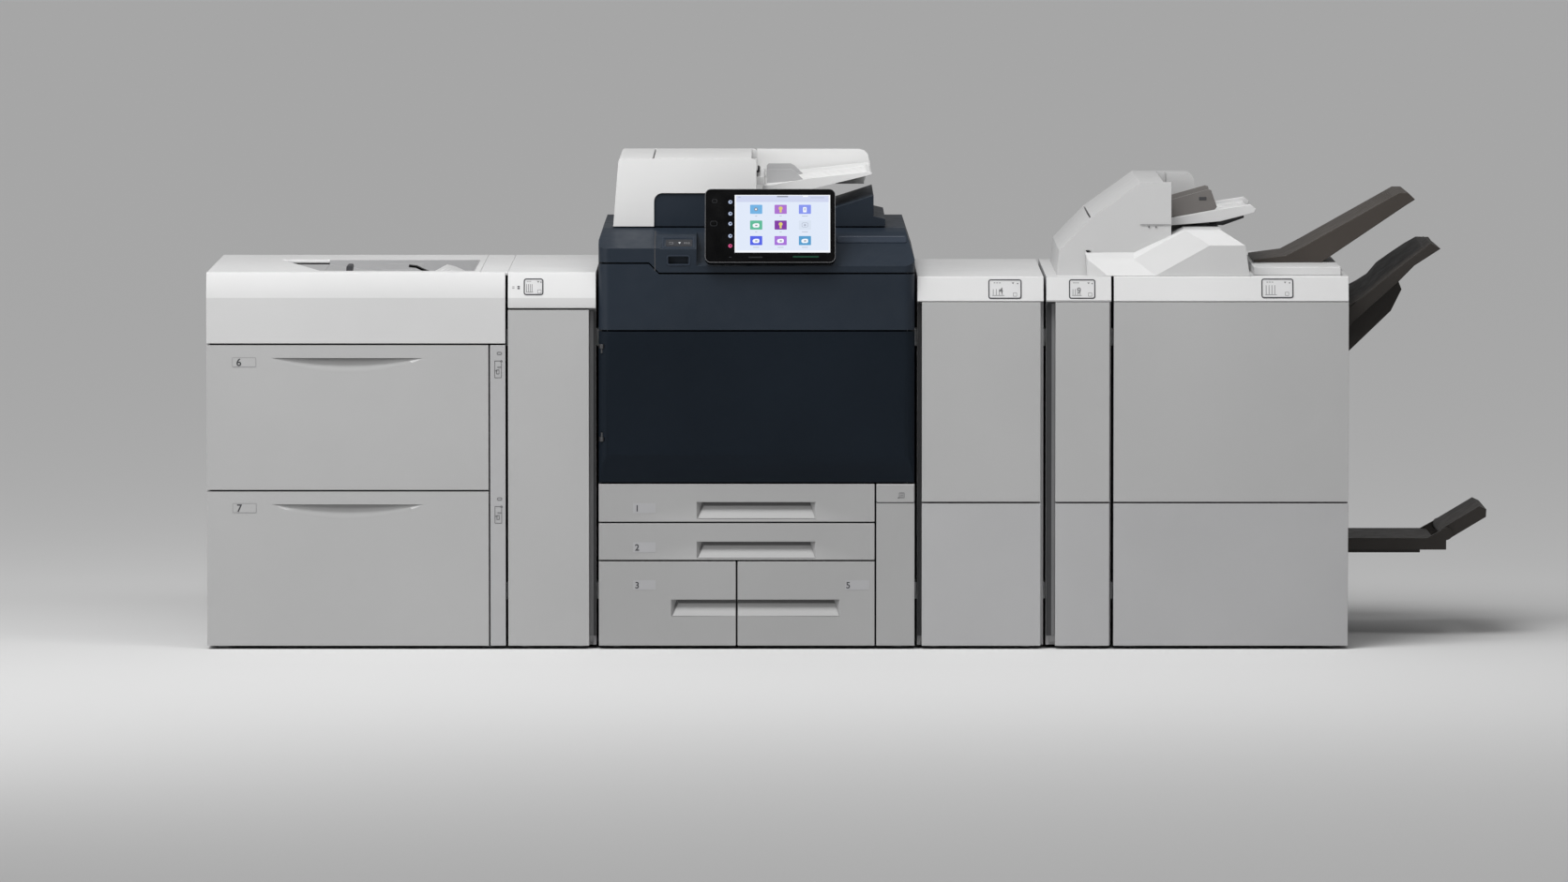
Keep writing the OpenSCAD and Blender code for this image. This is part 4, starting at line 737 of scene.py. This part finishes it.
def label_plate(name, z_top, u, v, digit):
    """A pale label with a dark rounded outline, a numeral and small machine signs."""
    label = band_face(z_top)
    label.plate(u, v, -0.2, 0.5, LABEL, 6)
    label.frame(u, v, 2.7, 0.4, 0.9, INK, 6)
    label.frame((u[0] + 3.2, u[1] - 3.2), (v[0] + 3.2, v[1] - 3.2), 0.6, 0.4, 0.8, LABEL, 3)
    width = u[1] - u[0]
    height = v[1] - v[0]

    def at(a, b):
        return (u[0] + a * width, v[0] + b * height)

    def stroke(a, b, length, rise):
        left, low = at(a, b)
        label.plate((left, left + length), (low, low + rise), *PRINT_LAYER, INK_SOFT)

    if digit:
        label.words(digit, 0.3 * height, at(0.38, 0.43), 0.4, 0.75, INK_SOFT)
    for share in (0.16, 0.24, 0.32):
        stroke(share, 0.80, 0.05 * width, 1.6)
    for share in (0.14, 0.23, 0.32, 0.41):
        stroke(share, 0.20, 1.3, (0.30 if digit else 0.46) * height)
    stroke(0.12, 0.16, 0.36 * width, 1.3)
    page_u, page_v = at(0.80, 0.22)
    label.frame((page_u - 4.5, page_u + 4.5), (page_v - 4.5, page_v + 4.5), 0.9, *PRINT_LAYER, INK_SOFT, 1)
    arrow_u, arrow_v = at(0.74, 0.80)
    label.prism([(arrow_u - 3, arrow_v + 1.8), (arrow_u, arrow_v - 2.4), (arrow_u + 3, arrow_v + 1.8)],
                *PRINT_LAYER, INK_SOFT)
    label.block(at(0.88, 0.78), 1.5, 1.5, *PRINT_LAYER, INK_SOFT)
    label.finish(name, "light_plastic")


def numbered_tag(body, u, z, digit, digit_u):
    """A flat tag with a numeral on a front; a drawer's tag also has an outline."""
    drawer = body.endswith("drawer")
    digit_height = DRAWER_DIGIT if drawer else TRAY_DIGIT
    tag = front_piece(FRONT)
    tag.plate(u, z, -0.2, 0.35, LIGHT if drawer else TAG, 2)
    if drawer:
        tag.frame(u, z, 1.4, 0.3, 0.6, TAG_EDGE, 2)
    tag.words(digit, digit_height, (digit_u, (z[0] + z[1]) / 2), 0.3, 0.65, INK)
    tag.finish(f"tag_{body}", "light_plastic", body=body)


def post_signs(name, z):
    """A ring and a page sign on the narrow post beside the drawers."""
    signs = front_piece(FRONT)
    u = POST_U
    signs.frame((u - 3, u + 9), (z - 3.7, z + 3.7), 1.7, -0.2, 0.5, INK_SOFT, 3.6)
    signs.frame((u - 8.6, u + 8.6), (z - 58, z - 17), 1.5, -0.2, 0.4, INK_SOFT, 1.5)
    signs.disc((u + 7.6, z - 18.5), 3, -0.2, 0.5, INK_SOFT, 0.3, 16)
    signs.plate((u - 2, u + 7.5), (z - 33.5, z - 31.5), -0.2, 0.6, INK_SOFT)
    signs.frame((u - 4, u + 3), (z - 49, z - 38), 1.4, -0.2, 0.6, INK_SOFT, 1)
    signs.plate((u - 8, u - 2), (z - 41.5, z - 40), -0.2, 0.6, INK_SOFT)
    signs.finish(name, "light_plastic")


def column_panel():
    """The small cover at the top of the side column, with a page sign."""
    cover = front_piece(FRONT)
    low, high = box_mm("side_column")
    u = (low[0] + 1.2, high[0] - 1.2)
    cover.plate(u, (345, 347.2), SUNK, 0.25, DARK)
    cover.plate(u, (347, high[2] - 1.2), SUNK, 1.5, TRAY_LIGHT, 2.5, 1)
    cover.frame((113, 125.6), (357, 370), 1.2, *SIGN_LAYER, INK_SOFT, 1.5)
    for step in range(3):
        cover.plate((115.5, 123), (359.6 + 3.4 * step, 360.7 + 3.4 * step), *SIGN_LAYER, INK_SOFT)
    cover.plate((110, 113.6), (356, 359), *SIGN_LAYER, INK_SOFT)
    cover.finish("column_cover_panel", "light_plastic")


# Hood, inserter tray and document tray


def build_hood():
    """The bridge hood: steep facets in front, a ridge along their top and a level part behind."""
    hood = front_piece()
    front_y = -359
    turn_y = -334
    ridge_y = -318
    base = COVER_TOP
    crest = [(667, 932), (786, 988), (870, 988), (877, base)]
    front = [(603, base), (603, base + 1.2), (716, base + 1.2), (843.3, 950.4), (927.5, 950.4),
             (938, base)]
    turn = [(556, base), (556, 917.2), (665.2, 917.2), (785.6, 986), (870.4, 986), (877, base)]
    ridge = [(556, base), (552, 932)] + crest
    under_head = [(606, base), (590, 932)] + crest
    hood.faces([along(ridge, ridge_y), along(turn, turn_y), along(front, front_y)], HOOD)
    hood.profile(under_head, ridge_y, 85, HOOD)
    piece = hood.finish("bridge_hood", "pale_plastic", 1.6)
    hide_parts("bridge_cover")


def build_head_marks():
    """The head's lower edge behind the ridge, and a panel line with two holes above it."""
    face = -316.8
    skirt = front_piece()
    outline = [(566, 928), (667, 928), (754, 968), (754, 993), (668, 939), (566, 939)]
    skirt.profile(outline, face, -315.2, HOOD)
    skirt.finish("inserter_head_skirt", "pale_plastic")
    marks = front_piece(face)
    marks.plate((681, 753), (996.6, 997.8), -0.6, 0.25, INK_SOFT)
    for u in (702, 718.5):
        marks.disc((u, 992), 2, -0.6, 0.3, INK_SOFT, 0.3, 16)
    marks.finish("inserter_head_marks", "grey_plastic")


def build_inserter_tray():
    """A shallow tray with two rails, a ribbed floor and two grey side fences."""
    rail = [(757, 991), (874, 1001), (952, 1021), (958, 1030), (944, 1041), (868, 1029), (757, 1008.5)]
    floor = [(757, 993), (874, 1003), (946, 1022), (942, 1031), (868, 1020), (757, 1000.5)]
    rib = [(760, 1000), (868, 1019.5), (938, 1030), (938, 1032), (868, 1022), (760, 1003)]
    tray = front_piece()
    for y in (-227, 155):
        tray.profile(rail, y, y + 18, PALE)
    tray.profile(floor, -209.5, 155.5, PALE)
    for y in range(-178, 123, 60):
        tray.profile(rib, y, y + 4, PALE)
    piece = tray.finish("inserter_sheet_tray", "light_plastic", 1)
    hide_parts("inserter_tray")
    fences = front_piece()
    outline = [(758, 1003), (866, 1022), (871, 1028), (857, 1068), (850, 1070), (764, 1046), (758, 1042)]
    for y in (-83, 125):
        fences.profile(outline, y, y + 8, GUIDE_GREY)
        fences.plate((828, 846), (1044, 1052), -y - 0.5, -y + 0.8, DARK, 1.5)
    fences.finish("inserter_fences", "grey_plastic", 0.8)
    latch = front_piece()
    block = [(880, 990), (930, 1008), (930, 1012), (850, 992)]
    latch.profile(block, -200, -80, DARK)
    latch.finish("inserter_tray_latch", "black_plastic", 0.6)


def build_document_tray():
    """The document tray: a sloping floor, a wedge-shaped front rail, ribs and two guides."""
    tray = front_piece()
    floor = [(-206, 1079), (-95, 1090), (47, 1108), (50, 1111), (46, 1113.5), (-95, 1095), (-206, 1085)]
    rail = [(-208, 1074), (-95, 1075), (48, 1110), (50.5, 1114), (46, 1117), (-99, 1101), (-208, 1082)]
    rear = [(-206, 1079.5), (-95, 1090.5), (48, 1109), (47, 1119), (-99, 1103), (-206, 1094)]
    rib = [(-196, 1082), (-95, 1094), (38, 1111.5), (38, 1114), (-95, 1096.8), (-196, 1087)]
    tray.profile(floor, -189, 262, WARM)
    tray.profile(rail, -198.3, -188.5, WARM)
    tray.profile(rear, 262.5, 271, WARM)
    rod = (-213.2, 1095.9)
    tray.bar((*rod, -271), (*rod, 198.3), 8.9, WARM, 24)
    tray.bar((*rod, -276), (*rod, 203), 2.9, STEEL, 16)
    for y in range(-150, 223, 62):
        tray.profile(rib, y, y + 3, WARM)
    piece = tray.finish("document_sheet_tray", "pale_plastic", 0.9, body="document_tray")
    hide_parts("document_tray")
    guides = front_piece()
    side = [(-199, 1084), (-112, 1095), (-132, 1115), (-142, 1120), (-194, 1120), (-199, 1115)]
    base = [(-190, 1085), (-118, 1094.5), (-118, 1097.5), (-190, 1088)]
    for y, base_y in ((-118, -114), (186, 164)):
        guides.profile(side, y, y + 4, MID_GREY)
        guides.profile(base, base_y, base_y + 22, MID_GREY)
    guides.finish("document_guides", "grey_plastic", 0.6, body="document_tray")


# Scanner deck and document feeder: the foot and the slope of each leaning face

WINDOW_FOOT = (0, CONSOLE_FRONT, 943.9)
WINDOW_SLOPE = (0, 40.8, 32.3)
GROOVE_FOOT = (0, CONSOLE_FRONT, 945.8)
GROOVE_SLOPE = (0, 146.9, 41.2)
LEDGE_FOOT = (0, -321.4, 953.7)
LEDGE_SLOPE = (0, 32.6, 23.5)


def build_console():
    """Left of the touch panel: the slot's rim, a slanted sign window and the line beside the block."""
    line_u = (-462, -459.6)
    front = front_piece(CONSOLE_FRONT)
    front.frame((-433.5, -377.5), (905.5, 930.5), 3.2, -0.6, 1.4, NAVY_SOFT, 7)
    front.plate(line_u, (893, 944), SUNK, 0.25, DARK)
    front.finish("console_slot_rim", "navy_plastic", 0.4)
    window = Piece(WINDOW_FOOT, RIGHT, WINDOW_SLOPE)
    window.frame((-443, -368.5), (3.5, 42), 2.2, SUNK, 0.9, NAVY_SOFT, 2.5)
    window.plate((-435, -373.3), (10.6, 34), SUNK, 0.5, SIGN_GREY, 2)
    window.prism([(-406, 24.5), (-403, 18), (-400, 24.5)], 0.4, 0.75, SIGN_LIGHT)
    window.frame((-427, -418), (17.5, 25), 1, *PRINT_LAYER, INK_SOFT, 1.2)
    for left in (-392, -387, -382):
        window.plate((left, left + 2.6), (18.5, 24.5), *PRINT_LAYER, INK_SOFT, 0.8)
    window.finish("console_window", "black_plastic")
    groove = Piece(GROOVE_FOOT, RIGHT, GROOVE_SLOPE)
    groove.plate(line_u, (0, 128), SUNK, 0.25, DARK)
    groove.finish("console_groove", "navy_plastic")


def build_deck_ledge():
    """The bare raised strip on the deck's slope, right of the panel."""
    ledge = Piece(LEDGE_FOOT, RIGHT, LEDGE_SLOPE)
    ledge.plate((-33, 131), (1, 27), SUNK, 2.2, NAVY_SOFT, 3, 1.2)
    ledge.plate((-28, 126), (22.2, 23.6), 2.1, 2.5, TRIM_LINE, 0.6)
    ledge.disc((-38, 14), 2.2, SUNK, 1, TRIM_LINE, 0.4, 16)
    ledge.finish("deck_ledge", "navy_plastic")


def build_feeder_details():
    """The lid's grip with painted shade on its floor, the feeder's side slot with a strip above it, and
    the slot's rollers.
    """
    top = Piece((0, 0, SCANNER_TOP), RIGHT, BACK)
    # Painted shade: the grip's floor in a darker copy of the lid's warm white
    top.plate((-446, -366), (-214, -186), SUNK, 0.15, WARM_SHADE, 8)
    top.frame((-448, -364), (-216, -184), 2, SUNK, 0.5, WARM, 10)
    top.finish("feeder_lid_grip", "pale_plastic", body="feeder_lid")
    side = Piece((-222.8, 0, 0), BACK, UP)
    side.plate((-170, 240), (1108, 1119), SUNK, 0.6, DARK, 2)
    side.plate((-185, 255), (1119.5, 1124), SUNK, 2.4, WARM, 1.6, 0.8)
    side.finish("feeder_side_slot", "black_plastic", body="scan_cover")
    rollers = front_piece()
    axle = (-219.5, 1113.5)
    for y in (-60, 20, 100):
        rollers.bar((*axle, -y - 14), (*axle, -y + 14), 4.6, RUBBER, 20)
    rollers.finish("feeder_rollers", "black_plastic", body="scan_cover")


# Bypass basin


def ribbon(piece, path, thickness, y, width, material):
    """A band of even thickness that follows a path in X and Z."""
    upper = []
    lower = []
    for i, point in enumerate(path):
        before = Vector(path[max(0, i - 1)])
        after = Vector(path[min(len(path) - 1, i + 1)])
        way = (after - before).normalized()
        normal = Vector((-way.y, way.x)) * thickness / 2
        upper.append(tuple(Vector(point) + normal))
        lower.append(tuple(Vector(point) - normal))
    piece.profile(lower + upper[::-1], y, y + width, material)


def build_basin_details():
    """The paper stop, and black bands under the feed head: partly its dark roller parts, partly painted
    shadow in the gaps beneath it.
    """
    low, high = box_mm("bypass_feed_head")
    left = low[0]
    right = high[0]
    stop = front_piece()
    outline = [(-1200, 862), (-1187, 862), (-1185.5, 872), (-1184, 884), (-1187, 887.5),
               (-1196, 887.5), (-1199, 884)]
    stop.profile(outline, -52, 26, INK)
    stop.finish("bypass_stop", "black_plastic", 1)
    left_path = [(left - 44, 886.5), (left - 26, 884.5), (left - 10, 877), (left + 4, 871)]
    right_path = [(right - 30, 872), (right - 12, 866), (right + 4, 862),
                  (right + 10, 866), (right + 12.5, 880)]
    # Painted shadow: black bands along the gaps under the feed head, partly standing for its dark roller
    # parts
    bands = front_piece()
    ribbon(bands, left_path, 5, -72, 34, BLACK)
    ribbon(bands, right_path, 4.5, -72, 34, BLACK)
    bands.finish("bypass_head_shadow_bands", "black_plastic")


# Backs, ends and tops

PANEL_MARGIN = 18
SCREW_PITCH = 260
VENT_RIM = 8
VENT_PITCH = 12
SLOT_PITCH = 80
# The upright spans of each cabinet's rear panels, and the vents, each with its u and v seen from behind
REAR_PANELS = (("feeder_cabinet", ((60, 400), (430, 700))), ("transport_cabinet", ((60, 760),)),
               ("engine_frame", ((230, 560), (590, 850))), ("cooler_cabinet", ((60, 790),)),
               ("inserter_cabinet", ((60, 790),)), ("finisher_cabinet", ((60, 430), (460, 790))))
REAR_VENTS = (("engine_rear_vent_upper", (130, 330), (680, 800)),
              ("engine_rear_vent_lower", (300, 520), (300, 400)),
              ("cooler_rear_vent_upper", (-420, -190), (560, 740)),
              ("cooler_rear_vent_lower", (-420, -190), (120, 300)),
              ("feeder_rear_vent", (1200, 1420), (120, 220)),
              ("finisher_rear_vent", (-1100, -880), (620, 730)))


def louvres(name, origin, across, u, v):
    """A pressed vent panel: a raised frame with rows of dark slots under small hoods."""
    vent = Piece(origin, across, UP)
    vent.frame((u[0] - VENT_RIM, u[1] + VENT_RIM), (v[0] - VENT_RIM, v[1] + VENT_RIM), 3, SUNK, 1.6,
               CABINET, 5)
    columns = max(1, round((u[1] - u[0]) / SLOT_PITCH))
    width = (u[1] - u[0]) / columns
    for row in range(int((v[1] - v[0]) / VENT_PITCH)):
        base = v[0] + (row + 0.25) * VENT_PITCH
        for column in range(columns):
            slot_u = (u[0] + column * width + 4, u[0] + (column + 1) * width - 4)
            vent.plate(slot_u, (base, base + 4.6), SUNK, 0.25, DARK, 2)
            vent.plate(slot_u, (base + 4.2, base + 6.6), SUNK, 1.9, CABINET, 1, 0.8)
    vent.finish(name, "cabinet_metal")


def rear_panel(name, u, v):
    """A removable rear panel: a thin raised sheet with fixing screws."""
    sheet = Piece((0, REAR, 0), LEFT, UP)
    sheet.plate(u, v, SUNK, 1, CABINET, 3, 0.6)
    count = max(2, round((v[1] - v[0]) / SCREW_PITCH) + 1)
    for side in (u[0] + 12, u[1] - 12):
        for step in range(count):
            height = v[0] + 14 + (v[1] - v[0] - 28) * step / (count - 1)
            screw_head(sheet, side, height, PANEL_SCREW)
    sheet.finish(name, "cabinet_metal")


def build_backs():
    """Rear panels and vents of each cabinet, seen from behind."""
    for node, spans in REAR_PANELS:
        low, high = box_mm(node)
        label = node.split("_")[0]
        for index, v in enumerate(spans):
            rear_panel(f"{label}_rear_panel_{index}", (PANEL_MARGIN - high[0], -low[0] - PANEL_MARGIN), v)
    for name, u, v in REAR_VENTS:
        louvres(name, (0, REAR + 1, 0), LEFT, u, v)


def build_ends():
    """Vents, a grip and a slot's rim on the two end walls."""
    low, high = box_mm("feeder_cabinet")
    wall = (low[0], 0, 0)
    louvres("feeder_end_vent", wall, FORWARD, (-330, -90), (90, 200))
    grip = Piece(wall, FORWARD, UP)
    grip.plate((-60, 60), (612, 650), SUNK, 0.3, DARK, 8)
    grip.frame((-66, 66), (606, 656), 6, SUNK, 2.2, CABINET, 12)
    grip.finish("feeder_end_grip", "cabinet_metal")
    low, high = box_mm("finisher_cabinet")
    wall = (high[0], 0, 0)
    louvres("finisher_end_vent", wall, BACK, (250, 370), (420, 560))
    slot = Piece(wall, BACK, UP)
    slot.plate((-150, 224), (760, 800), SUNK, 0.4, DARK, 4)
    slot.frame((-158, 232), (752, 808), 6, SUNK, 1.8, CABINET, 8)
    slot.finish("finisher_exit_slot", "black_plastic")


def build_engine_rear():
    """The lower rear panel of the engine, open round the power inlet."""
    low, high = box_mm("engine_frame")
    inlet_low, inlet_high = box_mm("power_inlet")
    spans = ((PANEL_MARGIN - high[0], -inlet_high[0] - 16), (16 - inlet_low[0], -low[0] - PANEL_MARGIN))
    for index, span in enumerate(spans):
        rear_panel(f"engine_lower_panel_{index}", span, (40, 205))


# Tray handles' painted light and shade, door recesses' painted shade, and bands

HANDLE_SLOPE = (0, 20, 39)
HANDLE_LENGTH = 280


def handle_painted_shading(number, u, z, ends):
    """Painted light and shade in a wedge handle: a lighter copy of the tray paint on its sloping floor, a
    painted shadow under its top and painted shade on its left cheek.

    ends says whether the handle's left and right ends lie in this tray.
    """
    shade_piece = Piece((0, FRONT, z), RIGHT, HANDLE_SLOPE)
    left = u[0] + (18 if ends[0] else 1)
    right = u[1] - (12.5 if ends[1] else 1)
    low_left = u[0] + (3 if ends[0] else 1)
    low_right = u[1] - (2 if ends[1] else 1)
    top_left = u[0] + (13.5 if ends[0] else 1)
    top_right = u[1] - (13.5 if ends[1] else 1)
    # The lit floor, then the painted shadow under the top, then the painted shade on the left cheek
    shade_piece.prism([(low_left, 1), (low_right, 1), (right, 33), (left, 33)], -0.2, 0.4, HANDLE_PAINTED_LIGHT)
    shade_piece.prism([(left - 1, 33.6), (right + 1, 33.6), (top_right, 43), (top_left, 43)], -0.2, 0.35,
                HANDLE_PAINTED_SHADOW)
    if ends[0]:
        shade_piece.prism([(u[0] + 1.2, 1.6), (left - 1.4, 33), (top_left - 0.6, 43)], -0.2, 0.3, HANDLE_PAINTED_CHEEK_SHADE)
    shade_piece.finish(f"tray_{number}_handle_painted_shading", "light_plastic", body=f"tray_{number}")


def build_handle_shading():
    """Painted light and shade in the handles: trays 1 and 2 have a handle each, and trays 3 and 5 share
    one across their joint.
    """
    low, high = box_mm("tray_1_front")
    left = low[0]
    width = high[0] - left
    handle = (left + 0.355 * width, left + 0.355 * width + HANDLE_LENGTH)
    for number, foot in ((1, 7), (2, 3.5)):
        low, high = box_mm(f"tray_{number}_front")
        handle_painted_shading(number, handle, low[2] + foot, (True, True))
    low, high = box_mm("tray_3_front")
    z = low[2] + 0.35 * (high[2] - low[2])
    handle_painted_shading(3, (left + 0.262 * width, high[0]), z, (True, False))
    low, high = box_mm("tray_5_front")
    handle_painted_shading(5, (low[0], left + 0.874 * width), z, (False, True))


def build_recess_shade():
    """Painted shade in the narrow recesses beside the transport, cooler and inserter doors: upright dark
    and grey plates that darken each recess.
    """
    # Each recess: its module, the side of the door it lies on, and the tones of the painted shade in its
    # two parts
    shade_strips = (("transport", 1, (GREY, DARK)), ("cooler", -1, (DARK, DARK)), ("inserter", -1, (DARK, GREY)))
    for label, side, shade_tones in shade_strips:
        cabinet_low, cabinet_high = box_mm(f"{label}_cabinet")
        door_low, door_high = box_mm(f"{label}_door")
        if side > 0:
            u = (door_high[0] + 1, cabinet_high[0] - 1)
        else:
            u = (cabinet_low[0] + 1, door_low[0] - 1)
        z = (30, door_high[2] - 4)
        edge = u[0] + 0.62 * (u[1] - u[0])
        floor = front_piece(door_high[1] - 2)
        floor.plate((u[0], edge), z, -0.4, 0.6, shade_tones[0])
        floor.plate((edge, u[1]), z, -0.4, 0.6, shade_tones[1])
        floor.finish(f"{label}_recess_painted_shade", "cabinet_metal")


def build_inserter_band():
    """The inserter's bright band and top, which the photograph shows as light as its neighbours."""
    low, high = box_mm("inserter_cabinet")
    u = (low[0] + 0.8, high[0] - 0.8)
    band = band_face(878)
    band.plate(u, (0.8, 57), SUNK, 0.45, PALE, 1, 0.3)
    band.finish("inserter_band", "pale_plastic")
    top = Piece((0, 0, high[2]), RIGHT, BACK)
    top.plate(u, (-372, high[1] - 6), SUNK, 0.15, PALE, 1)
    top.finish("inserter_top_skin", "pale_plastic")


def build_rear_pad():
    """The low raised part on the finisher's top, behind the exit tray."""
    pad = Piece((0, 0, COVER_TOP), RIGHT, BACK)
    pad.plate((950, 1082), (262, 352), -0.4, 21.5, PALE, 4, 2)
    pad.finish("finisher_rear_pad", "pale_plastic", 0.8)


def build_transport_marks():
    """Two small signs beside the transport module's label, each of two bars."""
    marks = band_face(888)
    for u, rows, ink in (((-796.5, -791), ((19, 20.2), (22.6, 23.8)), INK_SOFT),
                         ((-784, -778.5), ((17.5, 20.5), (22, 25)), INK)):
        for v in rows:
            marks.plate(u, v, -0.2, 0.4, ink)
    marks.finish("transport_signs", "light_plastic")


# The stacker tray's bed and the exit tray's ribs


def places_in(node, shares, heights):
    """Points in X and Z, given as shares of a node's box."""
    low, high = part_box(node)
    return [((low[0] + share * (high[0] - low[0])) / MM, (low[2] + height * (high[2] - low[2])) / MM)
            for share, height in zip(shares, heights)]


def build_stacker_bed():
    """The stacker tray's bed, which rises from its near edge to a rail along its far edge."""
    low, high = box_mm("stacker_tray")
    stations = (0.01, 0.20, 0.31, 0.41, 0.55, 0.70, 0.82, 0.955)
    near_heights = (0.423, 0.520, 0.598, 0.668, 0.767, 0.867, 0.947, 0.972)
    far_heights = (0.520, 0.606, 0.666, 0.768, 0.854, 0.940, 0.998, 0.995)
    under = places_in("stacker_tray", stations, [height - 0.012 for height in near_heights])
    near = places_in("stacker_tray", stations, [height + 0.002 for height in near_heights])
    far = places_in("stacker_tray", stations, far_heights)
    middle = [((a[0] + b[0]) / 2, 0.65 * a[1] + 0.35 * b[1]) for a, b in zip(near, far)]
    y = (low[1] + 1, high[1] - 1)
    bed = front_piece()
    bed.faces([along(under + far[::-1], y[1]), along(under + middle[::-1], 0.4 * y[0] + 0.6 * y[1]),
               along(under + near[::-1], y[0])], BROWN_DEEP)
    bed.finish("stacker_bed", "brown_plastic", 0.8, body="stacker_tray")


def build_exit_ribs():
    """Low ribs along the exit tray's slope, which carry the sheets."""
    low, high = box_mm("top_exit_tray")
    outline = places_in("top_exit_tray", (0.36, 0.86, 0.86, 0.36), (0.262, 0.925, 0.955, 0.292))
    ribs = front_piece()
    for step in range(6):
        centre = low[1] + (high[1] - low[1]) * (step + 1) / 7
        ribs.profile(outline, centre - 2.5, centre + 2.5, BROWN)
    ribs.finish("exit_tray_ribs", "brown_plastic", 0.6)


# The scene

add_camera()
add_lights()
add_floor()
for look, edge_width, names in NODE_LOOKS:
    for node_name in names.split():
        finish_node(node_name, look, edge_width)

build_screen()
build_icons()
build_panel_marks()
build_panel_trim()

for label_row in LABELS:
    label_plate(*label_row)
for tag_row in TAGS:
    numbered_tag(*tag_row)
post_signs("post_signs_upper", 697.9)
post_signs("post_signs_lower", 354.7)
column_panel()

build_hood()
build_head_marks()
build_inserter_tray()
build_document_tray()
build_console()
build_deck_ledge()
build_feeder_details()
build_basin_details()
build_backs()
build_ends()
build_engine_rear()
build_handle_shading()
build_recess_shade()
build_inserter_band()
build_rear_pad()
build_transport_marks()
build_stacker_bed()
build_exit_ribs()
